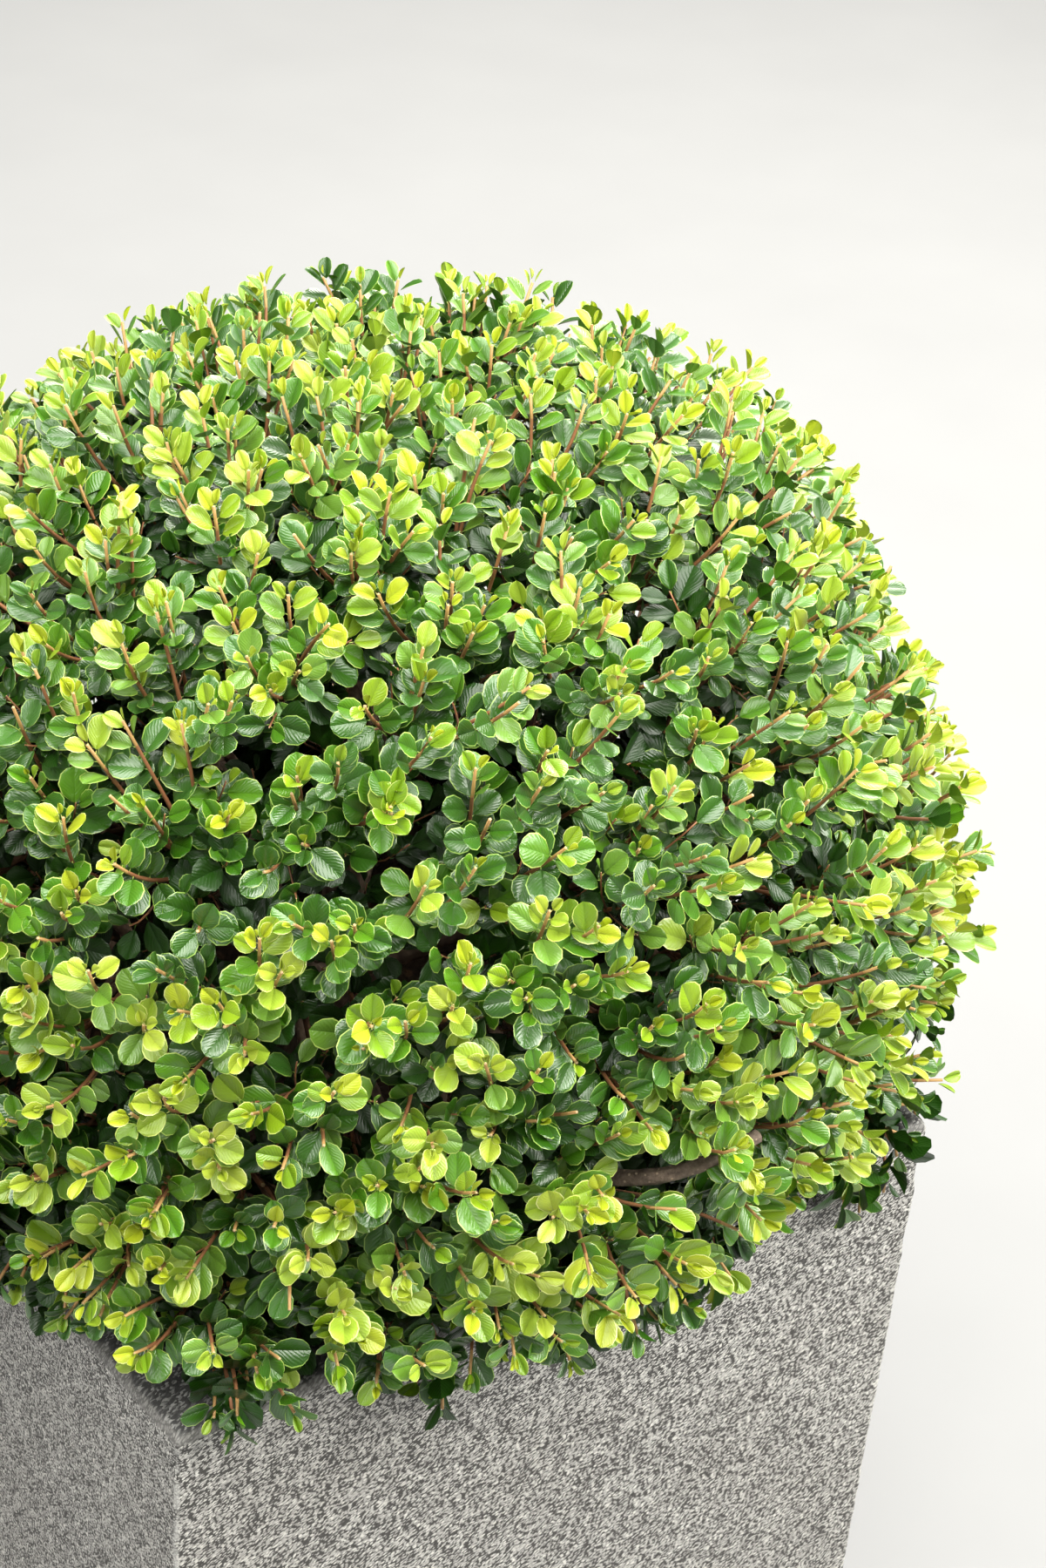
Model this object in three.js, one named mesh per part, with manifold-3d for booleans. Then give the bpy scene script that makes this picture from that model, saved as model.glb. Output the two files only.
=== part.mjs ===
// A small-leaved cotoneaster clipped to a low dome, growing in a square granite planter.
// Millimetres, +Z up. The origin is the middle of the planter's flat underside.
// The planter's front face looks along -Y and its left face along -X.
import * as THREE from 'three';
import { mergeVertices } from 'three/addons/utils/BufferGeometryUtils.js';
import Module from 'manifold-3d';

const wasm = await Module();
wasm.setup();

// Planter, measured outside
const RIM_SIDE = 450;
const FOOT_SIDE = 436;
const PLANTER_HEIGHT = 480;
const WALL = 30;
const FLOOR = 32;
const RIM_BEVEL = 5;
const FOOT_BEVEL = 4;

// Soil
const SOIL_BELOW_RIM = 34;

// Clearances: between pieces that touch, and round each foliage mass
const SEAT = 0.3;
const CELL_CLEARANCE = 0.9;
const CONE_CLEARANCE = 2.2;
const PLANTER_CLEARANCE = 1.2;

// Short stem that the crown hides
const TRUNK_FOOT_RADIUS = 23;
const TRUNK_TOP_RADIUS = 17;
const TRUNK_TOP_ABOVE_RIM = 52;
const TRUNK_LEAN = 7;
const FLARE_HEIGHT = 26;
const FLARE_SPREAD = 0.55;
const FLARE_LOBES = 5;
const FLARE_LOBE_DEPTH = 0.16;
const TRUNK_SIDES = 20;
const TRUNK_RINGS = 7;
const RINGS_DRAWN_DOWN = 1.5;

// Crown: a dome that is rounder than a ball's and bulges over the rim
const CROWN_OFFSET_X = 10;
const HEART_ABOVE_RIM = 82;
const CROWN_RADIUS = 306;
const CROWN_RISE = 292;
const CROWN_DROP = 173;
const CROWN_SQUARENESS = 2.48;

// Where the clipping left the dome fuller (height +) or flatter (height -)
const SWELLS = [
  { turn: -12, lift: 41, height: 14, spread: 17 },
  { turn: -134, lift: -18, height: 20, spread: 13 },
  { turn: -74, lift: -16, height: -15, spread: 12 },
  { turn: 106, lift: 46, height: -12, spread: 20 },
];

// Boughs
const BOUGH_BASE_RADIUS = 8.5;
const BOUGH_TIP_RADIUS = 5;
const BOUGH_SIDES = 8;
const BOUGH_STEPS = 5;
const FORK_LOW = 12;
const FORK_HIGH = 33;
const BOUGH_LIFT_LOW = 2;
const BOUGH_LIFT_HIGH = 20;
const BOUGH_ARCH = 14;
const LEADER_RADIUS = 11;

// Foliage masses: a ring of eight flanks under one top
const FLANKS = [
  'front', 'front_right', 'right', 'back_right', 'back', 'back_left', 'left', 'front_left',
];
const FRONT_TURN = -90;
const FLANK_TURN = 360 / FLANKS.length;
const TOP_LIFT = 48;
const LOW_LIFT = -24;
const HEARTWOOD_SHARE = 0.44;
const CORE_DEPTH = 40;
const CORE_ABOVE_RIM = 6;
const CORE_LUMP = 9;
const CORE_TURN_STEPS = 6;
const CORE_LIFT_STEPS = 7;
const CAP_SIDES = 20;
const CAP_RINGS = 4;
const STEM_BARE = 9;
const STEM_LENGTH = 24;

// Twigs and leaves, each leaf standing for a few real ones
const TWIGS = 122;
const TWIG_LOW_LIFT = -29;
const TWIG_MARGIN = 15;
const TWIG_SUNK = 8;
const TWIG_END_DEPTH = 20;
const TWIG_CLIP = 9;
const TWIG_ABOVE_RIM = 12;
const TWIG_BASE_RADIUS = 2.1;
const TWIG_TIP_RADIUS = 1.4;
const TWIG_BEND = 5;
const TWIG_LEAN_IN = 0.22;
const LEAVES_A_TWIG = 5;
const LEAF_LENGTH = 46;
const LEAF_LENGTH_SPREAD = 0.14;
const LEAF_WIDTH_SHARE = 0.84;
const LEAF_THICKNESS = 2.2;
const LEAF_WIDEST = 0.58;
const LEAF_FOLD = 4;
const LEAF_ROOT_SUNK = 1.1;
const LEAF_OPEN_LOW = 74;
const LEAF_OPEN_TIP = 52;
const LEAF_FIRST = 0.62;
const LEAF_TRIES = 16;
const LEAF_TRY_TURN = 31;
const LEAF_TRY_SHRINK = 0.03;
const LEAF_TOUCH = 1;
const GOLDEN_ANGLE = 180 * (3 - Math.sqrt(5));
const SMALLEST_EDGE = 0.25;
const SEED = 61;

const RIM_Z = PLANTER_HEIGHT;
const HEART = new THREE.Vector3(CROWN_OFFSET_X, 0, RIM_Z + HEART_ABOVE_RIM);
const UP = new THREE.Vector3(0, 0, 1);
const radians = THREE.MathUtils.degToRad;
const lerp = THREE.MathUtils.lerp;

// Repeatable random numbers between 0 and 1
function sequence(seed) {
  return () => THREE.MathUtils.seededRandom(seed++ * 7919 + 13);
}

// Leaves a geometry only its shared positions, and moves each of them by place(point)
function shaped(geometry, place) {
  geometry.deleteAttribute('normal');
  geometry.deleteAttribute('uv');
  const merged = mergeVertices(geometry, 1e-3);
  const points = merged.attributes.position;
  const point = new THREE.Vector3();
  for (let i = 0; i < points.count; i++) {
    const moved = place(point.fromBufferAttribute(points, i));
    points.setXYZ(i, moved.x, moved.y, moved.z);
  }
  return merged;
}

function toSolid(geometry) {
  const vertProperties = new Float32Array(geometry.attributes.position.array);
  const triVerts = new Uint32Array(geometry.index.array);
  return new wasm.Manifold(new wasm.Mesh({ numProp: 3, vertProperties, triVerts }));
}

function toGeometry(solid) {
  const mesh = solid.getMesh();
  const geometry = new THREE.BufferGeometry();
  const points = new Float32Array(mesh.vertProperties);
  geometry.setAttribute('position', new THREE.BufferAttribute(points, 3));
  geometry.setIndex(new THREE.BufferAttribute(new Uint32Array(mesh.triVerts), 1));
  return geometry;
}

// Joins the pieces and keeps the one outer body, so loose scraps go and sealed hollows fill
function fused(pieces) {
  let whole = pieces[0];
  for (const piece of pieces.slice(1)) whole = whole.add(piece);
  const bodies = whole.asOriginal().simplify(SMALLEST_EDGE).decompose();
  bodies.sort((a, b) => b.volume() - a.volume());
  return bodies[0];
}

// Unit vector from a turn about +Z, counted from +X, and a lift above the horizontal
function direction(turn, lift) {
  const a = radians(turn);
  const e = radians(lift);
  return new THREE.Vector3(Math.cos(a) * Math.cos(e), Math.sin(a) * Math.cos(e), Math.sin(e));
}

const turnOf = (v) => THREE.MathUtils.radToDeg(Math.atan2(v.y, v.x));
const liftOf = (v) => THREE.MathUtils.radToDeg(Math.atan2(v.z, Math.hypot(v.x, v.y)));
const turnBetween = (a, b) => THREE.MathUtils.euclideanModulo(a - b + 180, 360) - 180;

// Distance from the heart to the crown's surface: a superellipse turned about the heart,
// (flat/radius)^n + (height/rise)^n = 1, with the swells added as rounded bumps
function reach(dir) {
  const flat = Math.hypot(dir.x, dir.y) / CROWN_RADIUS;
  const tall = Math.abs(dir.z) / (dir.z > 0 ? CROWN_RISE : CROWN_DROP);
  const sum = flat ** CROWN_SQUARENESS + tall ** CROWN_SQUARENESS;
  let distance = sum ** (-1 / CROWN_SQUARENESS);
  for (const swell of SWELLS) {
    const away = THREE.MathUtils.radToDeg(dir.angleTo(direction(swell.turn, swell.lift)));
    distance += swell.height * Math.exp(-((away / swell.spread) ** 2));
  }
  return distance;
}

// Surface of a mass's core, which stays above the planter's rim
function coreReach(dir) {
  const distance = reach(dir) - CORE_DEPTH;
  if (dir.z >= 0) return distance;
  return Math.min(distance, (HEART_ABOVE_RIM - CORE_ABOVE_RIM) / -dir.z);
}

const fromHeart = (dir, distance) => HEART.clone().addScaledVector(dir, distance);

function insidePlanter(point, clearance) {
  const half = RIM_SIDE / 2 + clearance;
  return Math.abs(point.x) < half && Math.abs(point.y) < half && point.z < RIM_Z + clearance;
}

// A limb: a cylinder laid along a curve, with a radius that runs evenly from base to tip
function limb(curve, baseRadius, tipRadius, sides, steps) {
  const side = new THREE.Vector3();
  const up = new THREE.Vector3();
  const hint = Math.abs(curve.getTangent(0.5).z) > 0.9 ? new THREE.Vector3(1, 0, 0) : UP;
  const cylinder = new THREE.CylinderGeometry(1, 1, 1, sides, steps);
  return shaped(cylinder, (p) => {
    const t = THREE.MathUtils.clamp(p.y + 0.5, 0, 1);
    const along = curve.getTangent(t);
    side.crossVectors(hint, along).normalize();
    up.crossVectors(along, side);
    const radius = lerp(baseRadius, tipRadius, t);
    return curve.getPoint(t).addScaledVector(side, p.z * radius).addScaledVector(up, p.x * radius);
  });
}

// A square ring profile turned in four steps gives walls that lean evenly outward
function squareTurned(profile) {
  const corners = profile.map(([half, z]) => new THREE.Vector2(half * Math.SQRT2, z));
  const lathe = new THREE.LatheGeometry(corners, 4, Math.PI / 4);
  lathe.rotateX(Math.PI / 2);
  return shaped(lathe, (p) => p);
}

// Half the planter's outer width at a height
const outerHalf = (z) => lerp(FOOT_SIDE, RIM_SIDE, z / PLANTER_HEIGHT) / 2;

function planter() {
  return squareTurned([
    [0, 0],
    [outerHalf(0) - FOOT_BEVEL, 0],
    [outerHalf(FOOT_BEVEL), FOOT_BEVEL],
    [outerHalf(RIM_Z - RIM_BEVEL), RIM_Z - RIM_BEVEL],
    [outerHalf(RIM_Z) - RIM_BEVEL, RIM_Z],
    [outerHalf(RIM_Z) - WALL, RIM_Z],
    [outerHalf(FLOOR) - WALL, FLOOR],
    [0, FLOOR],
  ]);
}

function soil() {
  const low = FLOOR + SEAT;
  const high = RIM_Z - SOIL_BELOW_RIM;
  const inset = WALL + SEAT;
  return squareTurned([
    [0, low],
    [outerHalf(low) - inset, low],
    [outerHalf(high) - inset, high],
    [0, high],
  ]);
}

// The planter as a plain block with a clearance all round, which no twig or leaf may enter
function planterGuard() {
  const side = RIM_SIDE + 2 * PLANTER_CLEARANCE;
  const height = RIM_Z + PLANTER_CLEARANCE;
  return toSolid(shaped(new THREE.BoxGeometry(side, side, height), (p) => p.setZ(p.z + height / 2)));
}

const shared = (body, other) => body.intersect(other).volume();

const TRUNK_FOOT = new THREE.Vector3(0, 0, RIM_Z - SOIL_BELOW_RIM + SEAT);
const TRUNK_TOP = new THREE.Vector3(TRUNK_LEAN, 0, RIM_Z + TRUNK_TOP_ABOVE_RIM);
const TRUNK_HEIGHT = TRUNK_TOP.z - TRUNK_FOOT.z;

// The trunk leans a little; its foot spreads into lobes where the roots begin.
// A trunk made larger by extra all round is what the boughs are cut with.
function trunk(extra = 0) {
  const cylinder = new THREE.CylinderGeometry(1, 1, 1, TRUNK_SIDES, TRUNK_RINGS);
  return shaped(cylinder, (p) => {
    const t = THREE.MathUtils.clamp(p.y + 0.5, 0, 1);
    const share = t ** RINGS_DRAWN_DOWN;
    const height = share * TRUNK_HEIGHT;
    const near = Math.exp(-height / FLARE_HEIGHT);
    const lobe = 1 + FLARE_LOBE_DEPTH * near * Math.cos(FLARE_LOBES * Math.atan2(p.z, p.x));
    const even = lerp(TRUNK_FOOT_RADIUS, TRUNK_TOP_RADIUS, share);
    const radius = even * (1 + FLARE_SPREAD * near) * lobe + extra;
    const middle = new THREE.Vector3().lerpVectors(TRUNK_FOOT, TRUNK_TOP, share);
    const end = share === 1 ? extra : 0;
    return middle.add(new THREE.Vector3(p.x * radius, -p.z * radius, end));
  });
}

// One space of the crown: a wedge of turns for a flank, a cone for the top
function cells() {
  const flanks = FLANKS.map((name, k) => ({
    name,
    turn: FRONT_TURN + k * FLANK_TURN,
    high: k % 2 === 1,
    top: false,
  }));
  return [{ name: 'top', turn: 0, high: true, top: true }, ...flanks];
}

const cellAt = (dir) => {
  if (liftOf(dir) > TOP_LIFT) return 'top';
  const step = Math.round((turnOf(dir) - FRONT_TURN) / FLANK_TURN);
  return FLANKS[THREE.MathUtils.euclideanModulo(step, FLANKS.length)];
};

// True when a point is in the cell, clear of its sides and its cone
function inCell(cell, point) {
  const away = point.clone().sub(HEART);
  const distance = away.length();
  const overCone = distance * Math.sin(radians(liftOf(away) - TOP_LIFT));
  if (cell.top) return overCone > CONE_CLEARANCE;
  const flat = Math.hypot(away.x, away.y);
  const aside = Math.abs(turnBetween(turnOf(away), cell.turn));
  const toSide = flat * Math.sin(radians(FLANK_TURN / 2 - aside));
  return toSide > CELL_CLEARANCE && -overCone > CONE_CLEARANCE;
}

// The core of a flank: a box bent round the heart, lumpy outside
function flankCore(cell, random) {
  const box = new THREE.BoxGeometry(1, 1, 1, CORE_TURN_STEPS, CORE_LIFT_STEPS, 1);
  return shaped(box, (p) => {
    const lift = lerp(LOW_LIFT, TOP_LIFT - 1, p.y + 0.5);
    const middle = direction(cell.turn + p.x * FLANK_TURN, lift);
    const outer = coreReach(middle) - CORE_LUMP * random();
    const distance = p.z > 0 ? outer : HEARTWOOD_SHARE * reach(middle);
    const flat = distance * Math.cos(radians(lift));
    const gap = THREE.MathUtils.radToDeg(Math.asin(CELL_CLEARANCE / flat));
    const turn = cell.turn + 2 * p.x * (FLANK_TURN / 2 - gap);
    return fromHeart(direction(turn, lift), distance);
  });
}

// The core of the top: a turned cap with its rim on the cone
function topCore(random) {
  const profile = [];
  const rimLift = TOP_LIFT + 1;
  for (let k = 0; k <= CAP_RINGS; k++) profile.push([lerp(90, rimLift, k / CAP_RINGS), 1]);
  for (let k = 0; k <= 2; k++) profile.push([lerp(rimLift, 90, k / 2), 0]);
  const points = profile.map(([lift, outer]) => new THREE.Vector2(90 - lift, outer)).reverse();
  const lathe = new THREE.LatheGeometry(points, CAP_SIDES);
  return shaped(lathe, (p) => {
    const turn = turnOf(new THREE.Vector3(p.x, -p.z, 0));
    const lift = 90 - Math.hypot(p.x, p.z);
    const dir = direction(turn, lift);
    const outer = coreReach(dir) - CORE_LUMP * random();
    const distance = p.y > 0.5 ? outer : HEARTWOOD_SHARE * reach(dir);
    return fromHeart(dir, distance).addScaledVector(UP, CONE_CLEARANCE);
  });
}

// A bough leaves the trunk's axis and arches out to the inner face of its mass
function boughCurve(cell) {
  if (cell.top) {
    const tip = fromHeart(UP, HEARTWOOD_SHARE * reach(UP) - STEM_BARE);
    const base = TRUNK_TOP.clone().add(new THREE.Vector3(0, 0, SEAT));
    const knee = new THREE.Vector3(TRUNK_TOP.x, 0, lerp(base.z, tip.z, 0.5));
    return new THREE.QuadraticBezierCurve3(base, knee, tip);
  }
  const fork = cell.high ? FORK_HIGH : FORK_LOW;
  const share = (RIM_Z + fork - TRUNK_FOOT.z) / TRUNK_HEIGHT;
  const base = new THREE.Vector3().lerpVectors(TRUNK_FOOT, TRUNK_TOP, share);
  const dir = direction(cell.turn, cell.high ? BOUGH_LIFT_HIGH : BOUGH_LIFT_LOW);
  const tip = fromHeart(dir, HEARTWOOD_SHARE * reach(dir) - STEM_BARE);
  const knee = new THREE.Vector3().lerpVectors(base, tip, 0.5).addScaledVector(UP, -BOUGH_ARCH);
  return new THREE.QuadraticBezierCurve3(base, knee, tip);
}

function bough(cell, cutter) {
  const curve = boughCurve(cell);
  if (cell.top) return limb(curve, LEADER_RADIUS, BOUGH_TIP_RADIUS, BOUGH_SIDES, BOUGH_STEPS);
  const whole = toSolid(limb(curve, BOUGH_BASE_RADIUS, BOUGH_TIP_RADIUS, BOUGH_SIDES, BOUGH_STEPS));
  const bodies = whole.subtract(cutter).simplify(SMALLEST_EDGE).decompose();
  bodies.sort((a, b) => b.volume() - a.volume());
  return toGeometry(bodies[0]);
}

// The stem of a mass carries straight on from its bough's flat tip
function massStem(cell) {
  const curve = boughCurve(cell);
  const along = curve.getTangent(1);
  const base = curve.getPoint(1).addScaledVector(along, SEAT);
  const tip = base.clone().addScaledVector(along, STEM_LENGTH);
  return limb(new THREE.LineCurve3(base, tip), BOUGH_TIP_RADIUS, BOUGH_TIP_RADIUS, BOUGH_SIDES, 1);
}

// Twig ends spread evenly over the crown by the golden angle, and drawn in from the cell's sides
function twigEnds(cell) {
  const ends = [];
  const low = Math.sin(radians(TWIG_LOW_LIFT));
  for (let i = 0; i < TWIGS; i++) {
    const lift = THREE.MathUtils.radToDeg(Math.asin(1 - ((i + 0.5) / TWIGS) * (1 - low)));
    const dir = direction(i * GOLDEN_ANGLE, lift);
    if (cellAt(dir) === cell.name) ends.push(drawnIn(cell, dir));
  }
  return ends;
}

function drawnIn(cell, dir) {
  const margin = THREE.MathUtils.radToDeg(TWIG_MARGIN / reach(dir));
  if (cell.top) return direction(turnOf(dir), Math.max(liftOf(dir), TOP_LIFT + margin));
  const lift = Math.min(liftOf(dir), TOP_LIFT - margin);
  const widest = FLANK_TURN / 2 - margin / Math.cos(radians(lift));
  const aside = THREE.MathUtils.clamp(turnBetween(turnOf(dir), cell.turn), -widest, widest);
  return direction(cell.turn + aside, lift);
}

// How far a twig may run along dir before the planter's rim or walls are in its way
function clearReach(dir) {
  let distance = reach(dir);
  const least = coreReach(dir) - TWIG_SUNK;
  while (distance > least && insidePlanter(fromHeart(dir, distance), TWIG_ABOVE_RIM)) distance -= 1;
  return distance;
}

function twigCurve(cell, dir, random) {
  const centre = cell.top ? UP : direction(cell.turn, (TOP_LIFT + LOW_LIFT) / 2);
  const rootDir = dir.clone().lerp(centre, TWIG_LEAN_IN).normalize();
  const root = fromHeart(rootDir, coreReach(rootDir) - TWIG_SUNK - CORE_LUMP);
  const end = fromHeart(dir, clearReach(dir) - TWIG_END_DEPTH - TWIG_CLIP * random());
  const bend = new THREE.Vector3(random() - 0.5, random() - 0.5, random() - 0.5);
  const knee = root.clone().lerp(end, 0.5).addScaledVector(bend, 2 * TWIG_BEND);
  return new THREE.QuadraticBezierCurve3(root, knee, end);
}

// A leaf is an octahedron drawn out to a kite, widest past its middle and folded along its rib
function leaf(base, along, face, length) {
  const across = new THREE.Vector3().crossVectors(along, face);
  const octahedron = new THREE.OctahedronGeometry(1);
  return shaped(octahedron, (p) => {
    const spread = Math.abs(p.y) > 0.5 ? (p.y > 0 ? 1 : 0) : LEAF_WIDEST;
    const raise = Math.abs(p.x) * LEAF_FOLD + (p.z * LEAF_THICKNESS) / 2;
    return base.clone()
      .addScaledVector(along, spread * length)
      .addScaledVector(across, (p.x * length * LEAF_WIDTH_SHARE) / 2)
      .addScaledVector(face, raise);
  });
}

// The leaf that stands at t along a twig, turned about it by roll and opened from it
function standingLeaf(curve, t, roll, open, length) {
  const axis = curve.getTangent(t);
  const hint = Math.abs(axis.z) > 0.8 ? new THREE.Vector3(1, 0, 0) : UP;
  const side = new THREE.Vector3().crossVectors(axis, hint).normalize().applyAxisAngle(axis, roll);
  const along = axis.clone().multiplyScalar(Math.cos(open)).addScaledVector(side, Math.sin(open));
  const face = axis.clone().multiplyScalar(Math.sin(open)).addScaledVector(side, -Math.cos(open));
  return leaf(curve.getPoint(t).addScaledVector(along, -LEAF_ROOT_SUNK), along, face, length);
}

// Leaves stand round a twig by the golden angle, opening wide below and closing to its tip.
// Each takes the first turn at which it fits the cell, is clear of the planter and no more
// than touches the core or another leaf.
function addLeaves(cell, curve, random, guard, core, leaves) {
  const start = 360 * random();
  for (let i = 0; i < LEAVES_A_TWIG; i++) {
    const share = i / (LEAVES_A_TWIG - 1);
    const open = radians(lerp(LEAF_OPEN_LOW, LEAF_OPEN_TIP, share));
    const whole = LEAF_LENGTH * (1 + LEAF_LENGTH_SPREAD * (2 * random() - 1));
    for (let tries = 0; tries < LEAF_TRIES; tries++) {
      const roll = radians(start + i * GOLDEN_ANGLE + tries * LEAF_TRY_TURN);
      const length = whole * (1 - LEAF_TRY_SHRINK * tries);
      const blade = standingLeaf(curve, lerp(LEAF_FIRST, 1, share), roll, open, length);
      if (!fits(cell, blade, CORE_LUMP)) continue;
      const body = toSolid(blade);
      if (shared(body, guard) > 0) continue;
      if ([core, ...leaves].some((other) => shared(body, other) > LEAF_TOUCH)) continue;
      leaves.push(body);
      break;
    }
  }
}

// True when every point of a piece is in its cell and lies between the crown's surface and
// the given depth under the core's surface
function fits(cell, geometry, depth) {
  const points = geometry.attributes.position;
  const point = new THREE.Vector3();
  for (let i = 0; i < points.count; i++) {
    point.fromBufferAttribute(points, i);
    const away = point.clone().sub(HEART);
    if (!inCell(cell, point)) return false;
    const distance = away.length();
    away.normalize();
    if (distance > reach(away) || distance < coreReach(away) - depth) return false;
  }
  return true;
}

function foliage(cell, seed) {
  const random = sequence(seed);
  const core = toSolid(cell.top ? topCore(random) : flankCore(cell, random));
  const twigs = [];
  const leaves = [];
  const guard = planterGuard();
  for (const dir of twigEnds(cell)) {
    const curve = twigCurve(cell, dir, random);
    const twig = limb(curve, TWIG_BASE_RADIUS, TWIG_TIP_RADIUS, 3, 1);
    if (!fits(cell, twig, 2 * TWIG_SUNK + CORE_LUMP)) continue;
    const stick = toSolid(twig);
    if (shared(stick, guard) > 0) continue;
    twigs.push(stick);
    addLeaves(cell, curve, random, guard, core, leaves);
  }
  const crown = fused([core, ...twigs, ...leaves]);
  return toGeometry(crown.add(toSolid(massStem(cell))));
}

function finish(color, roughness) {
  return new THREE.MeshStandardMaterial({ color, roughness, metalness: 0 });
}

const granite = () => finish(0x94948f, 0.75);
const earth = () => finish(0x3d2f24, 1);
const bark = () => finish(0x7a5c45, 0.85);
const leafGreen = () => finish(0x6f9a2e, 0.45);

const group = new THREE.Group();

function addNode(name, geometry, material) {
  const mesh = new THREE.Mesh(geometry, material);
  mesh.name = name;
  group.add(mesh);
}

addNode('planter', planter(), granite());
addNode('soil', soil(), earth());
addNode('trunk', trunk(), bark());
const cutter = toSolid(trunk(SEAT));
cells().forEach((cell, k) => {
  addNode(`bough_${cell.name}`, bough(cell, cutter), bark());
  addNode(`foliage_${cell.name}`, foliage(cell, SEED + k), leafGreen());
});

export default group;
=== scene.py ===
"""A small-leaved cotoneaster clipped to a low dome, growing in a square granite planter.

Lengths are millimetres and angles are degrees; fresh_mesh turns them into metres.
+Z is up, the planter's front face looks along -Y and its left face along -X.
"""

import math

import bpy
import numpy as np
from mathutils import Matrix


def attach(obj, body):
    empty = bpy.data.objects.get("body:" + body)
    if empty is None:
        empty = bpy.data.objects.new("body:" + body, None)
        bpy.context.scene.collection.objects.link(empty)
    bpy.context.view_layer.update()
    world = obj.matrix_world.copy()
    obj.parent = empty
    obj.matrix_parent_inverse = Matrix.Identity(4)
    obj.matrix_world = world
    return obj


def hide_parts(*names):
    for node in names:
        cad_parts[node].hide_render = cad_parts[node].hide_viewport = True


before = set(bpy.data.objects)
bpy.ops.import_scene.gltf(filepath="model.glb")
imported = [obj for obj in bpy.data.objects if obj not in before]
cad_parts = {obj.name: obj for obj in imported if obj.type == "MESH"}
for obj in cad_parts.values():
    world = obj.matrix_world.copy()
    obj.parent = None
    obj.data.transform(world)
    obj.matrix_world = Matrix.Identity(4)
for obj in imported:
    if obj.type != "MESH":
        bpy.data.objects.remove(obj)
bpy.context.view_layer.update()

MM = 0.001
FULL_TURN = 2 * math.pi
GOLDEN_ANGLE = 180 * (3 - math.sqrt(5))
SEED = 61
# Ripples are made of this many waves, of these shares of their length
RIPPLE_WAVES = 28
RIPPLE_SHARES = (0.7, 1.6)
# From this rise on a direction counts as steep
STEEP = 0.92

# Planter, measured outside
RIM_SIDE = 450
FOOT_SIDE = 436
PLANTER_HEIGHT = 480
WALL = 30
FLOOR = 32
RIM_BEVEL = 5
FOOT_BEVEL = 4
UPRIGHT_ROUND = 2.2
FOOT_CHAMFER = 1.2
# The rim's inner edge: how far down the wall starts, and the chamfer's point inward and down
INNER_EDGE = 3
INNER_CHAMFER = (0.6, 0.7)
STEP_UP_WALL = 11
INNER_ROWS = 14
BEVEL_ROWS = 6
# Rows of the wall below the rim's bevel, and rows of the rim inward from the wall
BELOW_BEVEL = (11, 8, 5.5, 3.5, 1.8)
ACROSS_RIM = (7, 10, 14, 19, 24, 27.5)
# Columns by their share of half a side: an even run and its end, then closer ones to the upright
EVEN_COLUMNS = 68
EVEN_END = 0.965
UPRIGHT_COLUMNS = (0.975, 0.983, 0.989, 0.994, 0.998, 1.0)
# Wear of the rim and uprights: its depth, how far it spreads, its lengths, what stays whole, the
# fine part's share, the share drawn down, how far inward it goes and from what height up
CHIP_DEPTH = 1.5
CHIP_BAND = 4
CHIP_LENGTHS = (11, 4)
CHIP_CALM = 0.35
FINE_CHIP = 0.25
CHIP_DOWN = 0.6
WORN_INWARD = 8
WORN_ABOVE = 1

# Soil
SOIL_BELOW_RIM = 34
SEAT = 0.3
SOIL_LUMP = 1.6
SOIL_LUMP_LENGTHS = (26, 8)
SOIL_SETTLED = 1.4
SOIL_EDGE_POWER = 8
SOIL_STEPS = 90

# Short stem that the crown hides
TRUNK_FOOT_RADIUS = 23
TRUNK_TOP_RADIUS = 17
TRUNK_TOP_ABOVE_RIM = 52
TRUNK_LEAN = 7
FLARE_HEIGHT = 26
FLARE_SPREAD = 0.55
FLARE_LOBES = 5
FLARE_LOBE_DEPTH = 0.16
TRUNK_RINGS = 46
TRUNK_SIDES = 72
TRUNK_RING_POWER = 1.3
# Bark: the size round of its ripples' places and their share along, the ripples' lengths, their
# depth and the radius between them as shares of the radius
TRUNK_GRAIN = (20, 0.25)
TRUNK_FURROWS = (8, 3.5)
TRUNK_DEPTH = 0.03
TRUNK_EVEN = 0.985
LIMB_GRAIN = (9, 0.3)
LIMB_FURROWS = (6, 2.6)
BARK_APART = 50

# Crown: a dome that is rounder than a ball's and bulges over the rim
CROWN_OFFSET_X = 10
HEART_ABOVE_RIM = 82
CROWN_RADIUS = 306
CROWN_RISE = 292
CROWN_DROP = 173
CROWN_SQUARENESS = 2.48
# (turn, lift, height, spread) where the clipping left the dome fuller or flatter
SWELLS = ((-12, 41, 14, 17), (-134, -18, 20, 13), (-74, -16, -15, 12), (106, 46, -12, 20))
# The same for single strokes of the shears
STROKES = (
    (-18, 35, -8, 10), (-28, 28, -9, 10), (-40, 11, 7, 12), (-66, -17, -9, 10),
    (-148, -18, -8, 8), (-119, -18, -5, 7), (-131, -19, 3, 7), (-138, -17, 12, 7), (-135, -13, 7, 7),
    (-142, -8, -10, 4), (-123, -8, -8, 4), (-96, -11, -8, 4), (-78, -8, -14, 6), (-50, -16, 14, 6),
    (82, 56, -9, 22), (-2, 47, -9, 8), (-22, 32, -5, 7), (102, 50, -6, 8), (40, 56, 5, 9),
)
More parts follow.
